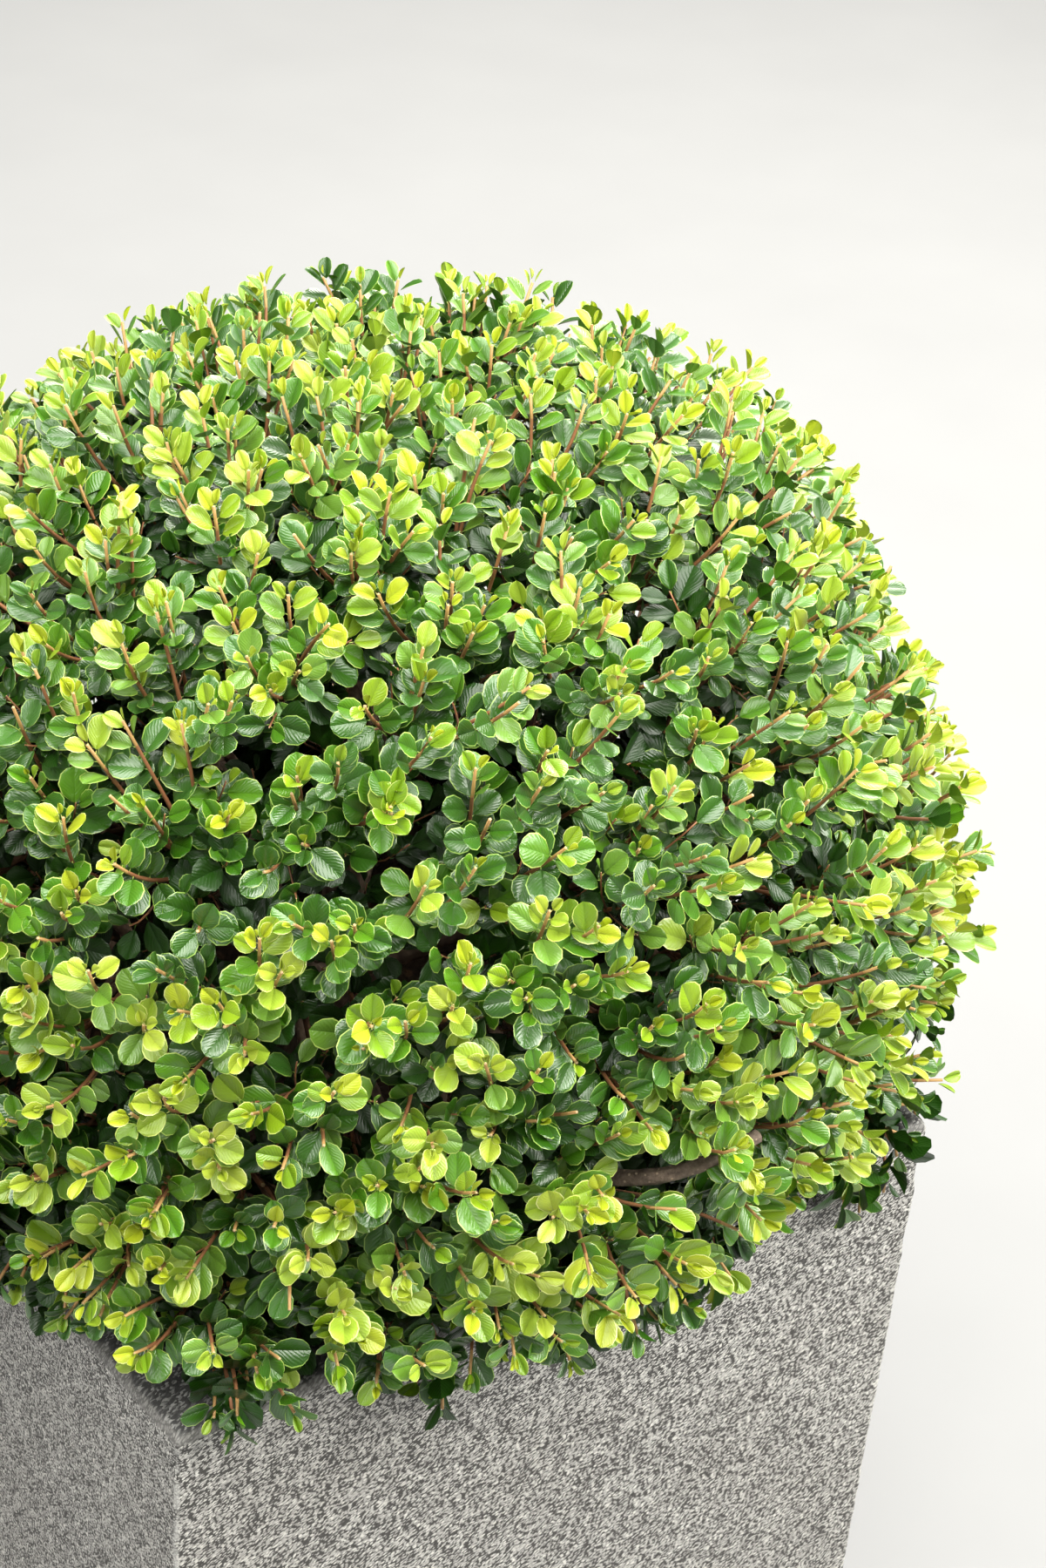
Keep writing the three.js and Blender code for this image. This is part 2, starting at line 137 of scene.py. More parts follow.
# How far below the rim tips of shoots may hang, by turn
HANG_TURNS = (
    -180, -166, -161, -156, -150, -144, -141, -138.5, -137, -135, -133, -131, -128, -123.5,
    -120, -117, -113, -111, -105, -98, -94, -90, -88, -85, -82, -79, -73, -68, -63, -60,
    -57, -55, -52, -40, 180,
)
HANG_DROPS = (
    38, 12, 2, 4, -22, -44, -52, -14, 12, 8, 4, -8, -8, -40,
    -10, 50, 34, -4, -10, 2, 0, 14, -8, 8, -2, 20, -10, 6, -44, 22,
    10, 34, 50, 40, 38,
)
SPURS_ABOVE_HANG = 12
# (turn, lift, height, spread) where more or fewer of the leaves are young. Young leaves are lime, so
# two of these places also carry painted light and shade: fewer young leaves in the shadowed middle of
# the front, more on the lit right flank
YOUNG_LEAVES_AND_PAINTED_LIGHT = (
    (-114, 44, -0.35, 16), (-128, -4, 0.1, 12), (-98, 2, 0.3, 12),
    (-162, -12, -0.5, 14), (58, 46, -0.4, 34), (-38, 20, 0.5, 22),
)
# One old limb that shows in a gap of the leaves: knee and tip as (turn, lift, depth)
OLD_LIMB_KNEE = (-106, 1, 2)
OLD_LIMB_TIP = (-82, 5, 16)
OLD_LIMB_FROM = 0.9
OLD_LIMB_RADII = (4.8, 3.2)
# The shares of its length between which no leaf hides it from this way, and how clear they stay
OLD_LIMB_SHOWN = (0.66, 0.84)
OLD_LIMB_SEEN_FROM = (-0.51, -0.575, 0.635)
OLD_LIMB_GAP = 8
OLD_LIMB_LEAVES_AHEAD = 60
OLD_LIMB_SAMPLES = 10

# Boughs, and the stem that carries each on into its mass
BOUGH_BASE_RADIUS = 8.5
BOUGH_TIP_RADIUS = 5
FORK_LOW = 12
FORK_HIGH = 33
BOUGH_LIFT_LOW = 2
BOUGH_LIFT_HIGH = 20
BOUGH_ARCH = 14
LEADER_RADIUS = 11
STEM_BARE = 9
STEM_LENGTH = 24
STEM_TIP_RADIUS = 3.6
HEARTWOOD_SHARE = 0.44
# Rings, sides and furrow depth, as a share of the radius, of barked limbs
BOUGH_BARK = (40, 28, 0.035)
LIMB_BARK = (16, 10, 0.05)
OLD_LIMB_BARK = (60, 24, 0.075)

# Masses of foliage: a ring of eight flanks under one top
FLANKS = (
    "front", "front_right", "right", "back_right",
    "back", "back_left", "left", "front_left",
)
MASSES = ("top",) + FLANKS
FRONT_TURN = -90
FLANK_TURN = 360 / len(FLANKS)
TOP_LIFT = 48

# Limbs, branches, shoots and spurs: how many, the share of the crown's reach or the depth under
# its surface that they end at, and the shares of their parent between which they fork off
LIMBS = 46
LIMB_SHARE = 0.64
LIMB_FORKS = (0.62, 1.3)
LIMB_RADII = (3.4, 1.9)
BRANCHES = 210
BRANCH_FIRST_TURN = 77
BRANCH_SHARE = 0.82
BRANCH_FORKS = (0.5, 1.0)
BRANCH_RADII = (1.9, 1.1)
WOOD_LOW_LIFT = -30
SHOOTS = 1380
SHOOT_FIRST_TURN = 31
SHOOT_LOW_LIFT = -34
SHOOT_SCATTER = 0.026
SHOOT_FORKS = (0.45, 1.0)
SHOOT_RADII = (1.3, 0.78)
SPURS = 950
SPUR_FIRST_TURN = 118
SPUR_DEPTHS = (17, 40)
SPUR_FORKS = (0.15, 0.5)
SPUR_RADII = (0.75, 0.45)
INNER_SPURS = 1100
INNER_FIRST_TURN = 203
INNER_DEPTHS = (42, 78)
INNER_FORKS = (0.3, 0.9)
# How shoots were clipped: the depth's spread and limit, how far they have grown out since, the
# share of strays and their extra length, and the height and length of uneven strokes
CLIP_SPREAD = 8
CLIP_LIMIT = 20
GROWN_SINCE = 5
STRAY_SHARE = 0.12
STRAY_LENGTH = 7
UNEVEN_CLIP = 4
UNEVEN_CLIP_LENGTH = 0.5
# The pull to the light: most for shoots, from the lift where it starts to where it is full
UPRIGHT = 1.5
UPRIGHT_LIFTS = (-18, 22)
SPUR_UPWARD = 0.8
WOOD_UPWARD = 0.4
# Random part of the growing directions, the share of a knee that the ending decides, and the
# share of a parent's length by which spurs choose it
WOOD_JITTER = 0.2
SHOOT_JITTER = 0.25
SPUR_JITTER = 0.35
KNEE_BY_ENDING = 0.6
PARENT_MIDDLE = 0.6
# Clear of the rim and of the wall, and how far a tip may be moved to get there
LIMB_ABOVE_RIM = 16
BRANCH_ABOVE_RIM = 13
BRANCH_OFF_WALL = 4
ABOVE_RIM = 9
OFF_WALL = 8
SHOOT_MOVED_MOST = 42
SPUR_MOVED_MOST = 30
HANG_SPARE = 10
KNEE_OFF_WALL = 3
KNEE_ABOVE_RIM = (14, 30)

RIM_Z = PLANTER_HEIGHT
UP = np.array([0.0, 0.0, 1.0])
HEART = np.array([CROWN_OFFSET_X, 0.0, RIM_Z + HEART_ABOVE_RIM])
TRUNK_FOOT = np.array([0.0, 0.0, RIM_Z - SOIL_BELOW_RIM + SEAT])
TRUNK_TOP = np.array([TRUNK_LEAN, 0.0, RIM_Z + TRUNK_TOP_ABOVE_RIM])


# Shapes


def unit(v):
    """Each vector divided by its own length."""
    return v / np.maximum(np.linalg.norm(v, axis=-1, keepdims=True), 1e-9)


def mixed(a, b, share):
    """a where share is 0, b where it is 1, and evenly between."""
    return a + (b - a) * share


def rise(values, low, high):
    """0 at low, 1 at high, even between and level beyond."""
    return np.clip((values - low) / (high - low), 0, 1)


def direction(turn, lift):
    """Unit vectors from a turn about +Z, counted from +X, and a lift above the horizontal."""
    a, e = np.broadcast_arrays(np.radians(turn), np.radians(lift))
    return np.stack([np.cos(a) * np.cos(e), np.sin(a) * np.cos(e), np.sin(e)], -1)


def turn_and_lift(v):
    """The turn and lift of vectors, in degrees."""
    flat = np.hypot(v[..., 0], v[..., 1])
    return np.degrees(np.arctan2(v[..., 1], v[..., 0])), np.degrees(np.arctan2(v[..., 2], flat))


def bumps(dirs, places):
    """The sum over places of height * exp(-(angle from the place / spread)^2)."""
    total = np.zeros(dirs.shape[:-1])
    for turn, lift, height, spread in places:
        away = np.degrees(np.arccos(np.clip(dirs @ direction(turn, lift), -1, 1)))
        total = total + height * np.exp(-((away / spread) ** 2))
    return total


def reach(dirs):
    """Heart to surface: (flat/radius)^n + (height/rise)^n = 1, with rounded bumps added."""
    flat = np.hypot(dirs[..., 0], dirs[..., 1]) / CROWN_RADIUS
    tall = np.abs(dirs[..., 2]) / np.where(dirs[..., 2] > 0, CROWN_RISE, CROWN_DROP)
    total = flat**CROWN_SQUARENESS + tall**CROWN_SQUARENESS
    return total ** (-1 / CROWN_SQUARENESS) + bumps(dirs, SWELLS + STROKES)


def from_heart(dirs, distance):
    """The points at a distance from the heart."""
    return HEART + dirs * np.asarray(distance)[..., None]


def lattice(count, low_lift, first_turn=0.0):
    """Directions evenly over the crown: equal steps of height and a golden angle of turn."""
    i = np.arange(count)
    low = math.sin(math.radians(low_lift))
    lift = np.degrees(np.arcsin(1 - (i + 0.5) / count * (1 - low)))
    return direction(first_turn + i * GOLDEN_ANGLE, lift)


def mass_of(dirs):
    """The number of the mass that each direction runs through: 0 for the top."""
    turn, lift = turn_and_lift(dirs)
    step = np.round((turn - FRONT_TURN) / FLANK_TURN).astype(int) % len(FLANKS)
    return np.where(lift > TOP_LIFT, 0, 1 + step)


def outer_half(z):
    """Half the planter's outer width at a height."""
    return mixed(FOOT_SIDE, RIM_SIDE, z / PLANTER_HEIGHT) / 2


def ripples(points, length, random):
    """Smooth unevenness of about -1 to 1: sine waves in random directions, added up."""
    ways = unit(random.normal(size=(RIPPLE_WAVES, 3)))
    ways = ways * FULL_TURN / (length * random.uniform(*RIPPLE_SHARES, (RIPPLE_WAVES, 1)))
    phases = random.uniform(0, FULL_TURN, RIPPLE_WAVES)
    return np.sin(points @ ways.T + phases).sum(-1) / math.sqrt(RIPPLE_WAVES)


def bezier(curves, shares):
    """Points and directions on quadratic curves (n, 3, 3) at shares (n, m) of their length."""
    t = shares[..., None]
    a, b, c = curves[:, None, 0], curves[:, None, 1], curves[:, None, 2]
    point = (1 - t) ** 2 * a + 2 * (1 - t) * t * b + t**2 * c
    return point, unit(2 * (1 - t) * (b - a) + 2 * t * (c - b))


def across_frame(along):
    """Two unit vectors square to each direction, so that side, up, along is right-handed."""
    steep = np.abs(along[..., 2:]) > STEEP
    hint = np.where(steep, np.array([1.0, 0.0, 0.0]), UP)
    side = unit(np.cross(hint, along))
    return side, np.cross(along, side)


def fresh_mesh(name, points, quads, triangles, slots=(), uv=None, creases=None):
    """A mesh object of four- and three-sided faces, each with a material slot's number.

    slots gives those of the quads and of the triangles. Without it all faces take the first.
    """
    corners = np.concatenate([quads.ravel(), triangles.ravel()]).astype(np.int32)
    sizes = np.concatenate([np.full(len(quads), 4), np.full(len(triangles), 3)])
    starts = np.concatenate([[0], np.cumsum(sizes)[:-1]]).astype(np.int32)
    mesh = bpy.data.meshes.new(name)
    mesh.vertices.add(len(points))
    mesh.vertices.foreach_set("co", (points * MM).astype(np.float32).ravel())
    mesh.loops.add(len(corners))
    mesh.loops.foreach_set("vertex_index", corners)
    mesh.polygons.add(len(starts))
    mesh.polygons.foreach_set("loop_start", starts)
    numbers = np.concatenate(slots) if slots else np.zeros(len(starts))
    mesh.polygons.foreach_set("material_index", numbers.astype(np.int32))
    mesh.polygons.foreach_set("use_smooth", np.ones(len(starts), bool))
    mesh.update(calc_edges=True)
    if uv is not None:
        layer = mesh.uv_layers.new(name="blade")
        layer.data.foreach_set("uv", uv[corners].astype(np.float32).ravel())
    if creases is not None:
        ends = np.empty(2 * len(mesh.edges), np.int32)
        mesh.edges.foreach_get("vertices", ends)
        on_crease = creases[ends.reshape(-1, 2)].all(-1)
        mesh.edges.foreach_set("use_edge_sharp", on_crease)
    piece = bpy.data.objects.new(name, mesh)
    bpy.context.collection.objects.link(piece)
    return piece


def repeated(faces, count, size):
    """One thing's faces, numbered on for each of count things of size points."""
    return (faces[None] + size * np.arange(count)[:, None, None]).reshape(-1, faces.shape[1])


def grid_faces(rows, columns, closed):
    """The four-sided faces of a grid of points, closed round its columns or open."""
    r = np.arange(rows - 1)[:, None]
    c = np.arange(columns if closed else columns - 1)[None]
    on = (c + 1) % columns
    ring, above = r * columns, (r + 1) * columns
    return np.stack([ring + c, ring + on, above + on, above + c], -1).reshape(-1, 4)


def end_faces(rows, columns):
    """The triangles between a closed grid's first and last rows and the two points after it."""
    c = np.arange(columns)
    on = (c + 1) % columns
    last = (rows - 1) * columns
    foot = np.stack([np.full(columns, rows * columns), on, c], -1)
    tip = np.stack([np.full(columns, rows * columns + 1), last + c, last + on], -1)
    return np.concatenate([foot, tip])


def capped_mesh(name, grid, first, last):
    """A mesh of rows of points, closed round its columns, and at both ends by a point."""
    rows, columns = grid.shape[:2]
    points = np.concatenate([grid.reshape(-1, 3), [first, last]])
    return fresh_mesh(name, points, grid_faces(rows, columns, True), end_faces(rows, columns))


def tubes(curves, radii, rings, sides, relief=None):
    """Rings of points carried along each curve, closed at both ends by a point.

    radii is (n, rings). relief(ring points, angle) gives each point's share of its radius.
    """
    count = len(curves)
    shares = np.broadcast_to(np.linspace(0, 1, rings), (count, rings))
    middle, along = bezier(curves, shares)
    side, up = across_frame(along)
    angle = FULL_TURN * np.arange(sides) / sides
    spoke = side[:, :, None] * np.cos(angle)[:, None] + up[:, :, None] * np.sin(angle)[:, None]
    radius = radii[:, :, None, None] * np.ones((1, 1, sides, 1))
    ring = middle[:, :, None] + radius * spoke
    if relief is not None:
        ring = middle[:, :, None] + radius * relief(ring, angle)[..., None] * spoke
    size = rings * sides + 2
    points = np.concatenate([ring.reshape(count, -1, 3), middle[:, :1], middle[:, -1:]], 1)
    quads = repeated(grid_faces(rings, sides, True), count, size)
    return points.reshape(-1, 3), quads, repeated(end_faces(rings, sides), count, size)


# Growth: trunk, boughs, limbs, branches, shoots and spurs


def clear_of_planter(points, above, outside):
    """Points in the planter's block moved the shorter way out: up over the rim, or off the wall.

    Also how far each was moved.
    """
    half = RIM_SIDE / 2 + outside
    flat = np.abs(points[..., :2])
    over = RIM_Z + above - points[..., 2]
    out = half - flat.max(-1)
    inside = (over > 0) & (out > 0)
    raised = points.copy()
    raised[..., 2] += np.where(inside & (over <= out), over, 0)
    push = np.where(inside & (over > out), out, 0)
    on_x = flat[..., 0] >= flat[..., 1]
    raised[..., 0] += np.sign(points[..., 0]) * np.where(on_x, push, 0)
    raised[..., 1] += np.sign(points[..., 1]) * np.where(on_x, 0, push)
    return raised, np.where(inside, np.minimum(over, out), 0)


def bough_curves():
    """Each bough leaves the trunk's axis and arches out to the inner face of its mass."""
    top_tip = from_heart(UP, HEARTWOOD_SHARE * reach(UP) - STEM_BARE)
    top_base = TRUNK_TOP + SEAT * UP
    top_knee = np.array([TRUNK_TOP[0], 0.0, (top_base[2] + top_tip[2]) / 2])
    turns = FRONT_TURN + FLANK_TURN * np.arange(len(FLANKS))
    high = np.arange(len(FLANKS)) % 2 == 1
    fork = np.where(high, FORK_HIGH, FORK_LOW)
    share = (RIM_Z + fork - TRUNK_FOOT[2]) / (TRUNK_TOP[2] - TRUNK_FOOT[2])
    base = mixed(TRUNK_FOOT, TRUNK_TOP, share[:, None])
    dirs = direction(turns, np.where(high, BOUGH_LIFT_HIGH, BOUGH_LIFT_LOW))
    tip = from_heart(dirs, HEARTWOOD_SHARE * reach(dirs) - STEM_BARE)
    knee = (base + tip) / 2 - BOUGH_ARCH * UP
    flanks = np.stack([base, knee, tip], 1)
    return np.concatenate([np.stack([top_base, top_knee, top_tip])[None], flanks])


def stem_curves(boughs):
    """Each mass's stem carries straight on from its bough's tip."""
    tip, along = bezier(boughs, np.ones((len(boughs), 1)))
    end = tip + STEM_LENGTH * along
    return np.concatenate([tip, (tip + end) / 2, end], 1)


def nearest(tips, masses, parent_tips, parent_masses):
    """For each tip the parent of the same mass whose tip lies nearest."""
    gap = np.linalg.norm(tips[:, None] - parent_tips[None], axis=-1)
    other = masses[:, None] != parent_masses[None]
    return np.argmin(np.where(other, np.inf, gap), axis=1)


def forked(parents, shares, tips, ending):
    """Curves from a share of each parent to its tip.

    The knee lies between where the parent's own direction would lead and where a limb that
    ends along ending would come from.
    """
    base, way = bezier(parents, shares[:, None])
    base, way = base[:, 0], way[:, 0]
    gap = np.linalg.norm(tips - base, axis=-1, keepdims=True)
    onward = base + 0.5 * gap * way
    back = tips - 0.5 * gap * ending
    return np.stack([base, mixed(onward, back, KNEE_BY_ENDING), tips], 1)


def outward(dirs, random, upward=WOOD_UPWARD, jitter=WOOD_JITTER):
    """Growing directions: away from the heart, up to the light, and a little at random."""
    return unit(dirs + upward * UP + jitter * random.normal(size=dirs.shape))


def grow_wood(boughs, stems, random):
    """Limbs from boughs and stems, and branches from limbs, each to its lattice point.

    A limb's share of its bough that is more than 1 falls on the stem beyond.
    """
    dirs = lattice(LIMBS, WOOD_LOW_LIFT)
    masses = mass_of(dirs)
    tips, _ = clear_of_planter(from_heart(dirs, LIMB_SHARE * reach(dirs)), LIMB_ABOVE_RIM, 0)
    shares = random.uniform(*LIMB_FORKS, LIMBS)
    on_stem = shares > 1
    parents = np.where(on_stem[:, None, None], stems[masses], boughs[masses])
    shares = np.where(on_stem, (shares - 1) / (LIMB_FORKS[1] - 1), shares)
    limbs = forked(parents, shares, tips, outward(dirs, random))

    branch_dirs = lattice(BRANCHES, WOOD_LOW_LIFT, BRANCH_FIRST_TURN)
    branch_masses = mass_of(branch_dirs)
    branch_tips = from_heart(branch_dirs, BRANCH_SHARE * reach(branch_dirs))
    branch_tips, _ = clear_of_planter(branch_tips, BRANCH_ABOVE_RIM, BRANCH_OFF_WALL)
    parent = nearest(branch_tips, branch_masses, limbs[:, 2], masses)
    shares = random.uniform(*BRANCH_FORKS, BRANCHES)
    branches = forked(limbs[parent], shares, branch_tips, outward(branch_dirs, random))
    return limbs, branches, branch_masses


def old_limb_curve(boughs):
    """A thick old limb from the front bough, whose last part runs along under the surface."""
    ends = []
    for turn, lift, depth in (OLD_LIMB_KNEE, OLD_LIMB_TIP):
        way = direction(turn, lift)
        ends.append(from_heart(way, reach(way) - depth))
    front = MASSES.index("front")
    base, _ = bezier(boughs[front : front + 1], np.array([[OLD_LIMB_FROM]]))
    return np.stack([base[0, 0], *ends])[None]


def over_the_rim(curves, random):
    """Shoots that hang outside the wall go out above the rim first: their knee is lifted."""
    tips = curves[:, 2]
    hanging = tips[:, 2] < RIM_Z + ABOVE_RIM
    lifted = tips + KNEE_OFF_WALL * unit(tips * [1, 1, 0])
    lifted[:, 2] = RIM_Z + random.uniform(*KNEE_ABOVE_RIM, len(tips))
    curves[:, 1] = np.where(hanging[:, None], lifted, curves[:, 1])
    return curves


def hung(tips, dirs, spare):
    """Tips raised to where the foliage ends at their turn, and spare above it."""
    lowest = RIM_Z - np.interp(turn_and_lift(dirs)[0], HANG_TURNS, HANG_DROPS)
    raised = tips.copy()
    raised[:, 2] = np.maximum(tips[:, 2], lowest + spare)
    return raised


def grow_shoots(branches, branch_masses, random):
    """Leafy shoots from the branches to the clipped surface, with some ends cut short."""
    dirs = lattice(SHOOTS, SHOOT_LOW_LIFT, SHOOT_FIRST_TURN)
    dirs = unit(dirs + SHOOT_SCATTER * random.normal(size=dirs.shape))
    clipped = np.abs(random.normal(0, CLIP_SPREAD, SHOOTS)).clip(0, CLIP_LIMIT) - GROWN_SINCE
    clipped = clipped - np.where(random.random(SHOOTS) < STRAY_SHARE, STRAY_LENGTH, 0)
    clipped = clipped - UNEVEN_CLIP * ripples(dirs, UNEVEN_CLIP_LENGTH, random)
    tips = from_heart(dirs, reach(dirs) - clipped)
    tips = hung(tips, dirs, random.uniform(0, HANG_SPARE, SHOOTS))
    tips, moved = clear_of_planter(tips, ABOVE_RIM, OFF_WALL)
    kept = moved < SHOOT_MOVED_MOST
    dirs, tips = dirs[kept], tips[kept]
    masses = mass_of(dirs)
    parent = nearest(tips, masses, branches[:, 2], branch_masses)
    shares = random.uniform(*SHOOT_FORKS, len(tips))
    upright = UPRIGHT * rise(turn_and_lift(dirs)[1], *UPRIGHT_LIFTS)[:, None]
    curves = forked(branches[parent], shares, tips, outward(dirs, random, upright, SHOOT_JITTER))
    return over_the_rim(curves, random), masses


def grow_spurs(count, depths, first_turn, parents, masses, forks, random):
    """Short shaded spurs from low on their parents, ending under the clipped surface."""
    dirs = lattice(count, SHOOT_LOW_LIFT, first_turn)
    depth = random.uniform(*depths, count)
    tips = hung(from_heart(dirs, reach(dirs) - depth), dirs, SPURS_ABOVE_HANG)
    tips, moved = clear_of_planter(tips, ABOVE_RIM, OFF_WALL)
    kept = moved < SPUR_MOVED_MOST
    dirs, tips = dirs[kept], tips[kept]
    middles = bezier(parents, np.full((len(parents), 1), PARENT_MIDDLE))[0][:, 0]
    parent = nearest(tips, mass_of(dirs), middles, masses)
    shares = random.uniform(*forks, len(tips))
    return forked(parents[parent], shares, tips, outward(dirs, random, SPUR_UPWARD, SPUR_JITTER))


# Leaves

# Distance from the shoot's end, length and opening angle of its leaves, from the end inward
SHOOT_RANKS = np.array([
    [0, 1.3, 3.6, 7, 11, 15.5, 20.5, 26, 32, 38.5, 45.5, 53],
    [5.5, 8.4, 11.4, 13.4, 14.4, 15, 15.3, 15.5, 15.5, 15.5, 15.5, 15.5],
    [12, 22, 33, 42, 48, 53, 57, 60, 63, 66, 68, 70],
])
SPUR_RANKS = np.array([
    [0, 2, 5, 9, 13.5, 18.5, 24],
    [8.5, 12, 14.5, 15.5, 16, 16, 15.5],
    [20, 36, 48, 58, 64, 68, 71],
])
LEAF_SPACING = (0.85, 1.2)
LEAF_WIDTH_SHARE = (0.80, 0.99)
PETIOLE = 2.0
PETIOLE_HALF = 0.35
PETIOLE_IN_TWIG = 0.3
BLADE_OFF_TWIG = 0.6
# The young leaves near a shoot's end are narrower and more folded: lengths, and the values there
WIDTH_BY_LENGTH = ((6, 15), (0.78, 1.0))
FOLD_BY_LENGTH = ((5, 10, 15.5), (42, 29, 16))
FOLD_RANGE = (4, 45)
LEAF_ROLL = (-0.02, 0.16)
LEAF_CURL = (-0.03, 0.13)
LEAF_SWERVE = 0.03
LEAF_SIZE_SPREAD = 0.12
LEAF_SIZE_RANGE = (0.65, 1.25)
# How far leaves are shifted at random along the shoot, and more by a share of the distance
LEAF_SHIFT = 0.12
LEAF_SHIFT_SHARE = 0.12
# Random spreads: of the shoot's own twist from leaf to leaf, of a leaf's turn round the shoot,
# of its opening angle and of its fold, in degrees
TWIST_SPREAD = 13
TURN_SPREAD = 20
OPEN_SPREAD = 8
FOLD_SPREAD = 6
# Light comes from outside, from above and from an open side, which shoots show their leaves to,
# level shoots less than upright ones. Leaves turn to it by these amounts, less to the shoot's end
LIGHT_OUT = 0.7
LIGHT_UP = 0.4
LIGHT_SPREAD = 0.25
SHOWN_SPREAD = 0.3
OPEN_SIDE = np.array([-0.45, -0.68, 0.0])
OPEN_BY_RISE = (0.3, 1.0)
TO_LIGHT = (0.8, 1.5)
LEAFLESS_FOOT = 0.03
# A leaf's clearance from the planter, and how far one may be moved to keep it
LEAF_CLEAR = 0.8
LEAF_MOVED_MOST = 13
INNER_WALL_CLEAR = 4
SOIL_CLEAR = 3

# A leaf's outline: shares along it and half-widths there, round with a short point
FINE_ALONG = np.array([0.04, 0.18, 0.40, 0.65, 0.86, 0.97])
FINE_HALF = np.array([0.22, 0.62, 0.92, 1.0, 0.80, 0.50])
FINE_ACROSS = np.array([-1, -0.92, 0, 0.92, 1.0])
MIDDLE_ALONG = np.array([0.05, 0.25, 0.55, 0.83, 0.97])
MIDDLE_HALF = np.array([0.26, 0.76, 1.0, 0.85, 0.50])
PLAIN_ALONG = np.array([0.08, 0.33, 0.62, 0.88])
PLAIN_HALF = np.array([0.28, 0.80, 1.0, 0.70])
PLAIN_ACROSS = np.array([-1, 0, 1.0])
LEAF_POINT = 1.035
BLADE, MARGIN = 0, 1

HUES = ("lime", "fresh", "green", "deep", "shade")
FRESH, GREEN, DEEP, SHADE = range(1, len(HUES))
# How many of a shoot's leaves over its vigour make a leaf fresh, green and deep
HUE_STEPS = (0.75, 1.35, 2.4)
HUE_SPREAD = 0.12
TINTS = 3
MOST_TRIANGLES = 195000

# Vigour is how many leaves of a shoot are young. It falls toward the sun and low on the crown
SUNNY = np.array([0.45, 0.1, 0.95])
SUN_FROM = -0.3
SUN_FULL = 0.85
VIGOUR = (2.0, 6.2)
VIGOUR_BY_SUN = (0.92, 0.7)
LOW_LIFTS = (-4, -13)
LOW_VIGOUR = 0.4
DULL_BY_SUN = (0.25, 0.08)
DULL_VIGOUR = 0.35
# Three in four of the lowest shoots are one hue older, and stubs have lost their end
DROOPING_LIFT = -7
STUB_SHARE = 0.07
STUB_BARE = (6, 13)
LEAF_SCALE_BY_LIFT = (1.04, 0.93)
LEAF_SCALE_LIFTS = (-25, 35)
SPUR_VIGOUR = (1.2, 3.6)
SPUR_HUES = (FRESH, FRESH, GREEN, GREEN, DEEP)
INNER_VIGOUR = 2.0


def leaf_outline(along, half, across):
    """One leaf's points as (share across, half-width share, share along), its faces and parts."""
    rows, columns = len(along), len(across)
    body = [np.tile(across, rows), np.repeat(half, columns), np.repeat(along, columns)]
    ends = np.array([[0, 0, 0], [0, 0, LEAF_POINT]])
    points = np.concatenate([np.stack(body, -1), ends])
    quads = grid_faces(rows, columns, False)
    foot, point = rows * columns, rows * columns + 1
    c = np.arange(columns - 1)
    last = (rows - 1) * columns
    at_foot = np.stack([np.full(columns - 1, foot), c + 1, c], -1)
    at_point = np.stack([np.full(columns - 1, point), last + c, last + c + 1], -1)
    edge = np.isin(c, [0, columns - 2]) & (columns > 3)
    quad_parts = np.tile(np.where(edge, MARGIN, BLADE), rows - 1)
    triangle_parts = np.tile(np.where(edge, MARGIN, BLADE), 2)
    return points, quads, np.concatenate([at_foot, at_point]), quad_parts, triangle_parts


def leaf_points(leaves, outline):
    """Every leaf's points.

    Across, a point lies its share of the half-width out from the midrib on a blade that is
    folded up along the midrib by its own angle and rolled down at its edges. Along, the blade
    bends back by a share of its length that grows as the square of the distance.
    """
    across, half, along = outline.T
    width = leaves["length"][:, None] * leaves["width"][:, None] / 2
    lateral = across * half * width
    fold = np.radians(leaves["fold"])[:, None]
    x = lateral * np.cos(fold)
    x = x + leaves["swerve"][:, None] * leaves["length"][:, None] * along**2
    z = np.abs(lateral) * np.sin(fold) - leaves["roll"][:, None] * width * np.abs(across) ** 3 * half
    z = z - leaves["curl"][:, None] * leaves["length"][:, None] * along**2
    y = leaves["length"][:, None] * along
    axis, face = leaves["axis"], leaves["face"]
    sideways = np.cross(axis, face)
    points = leaves["base"][:, None] + y[..., None] * axis[:, None]
    return points + x[..., None] * sideways[:, None] + z[..., None] * face[:, None]


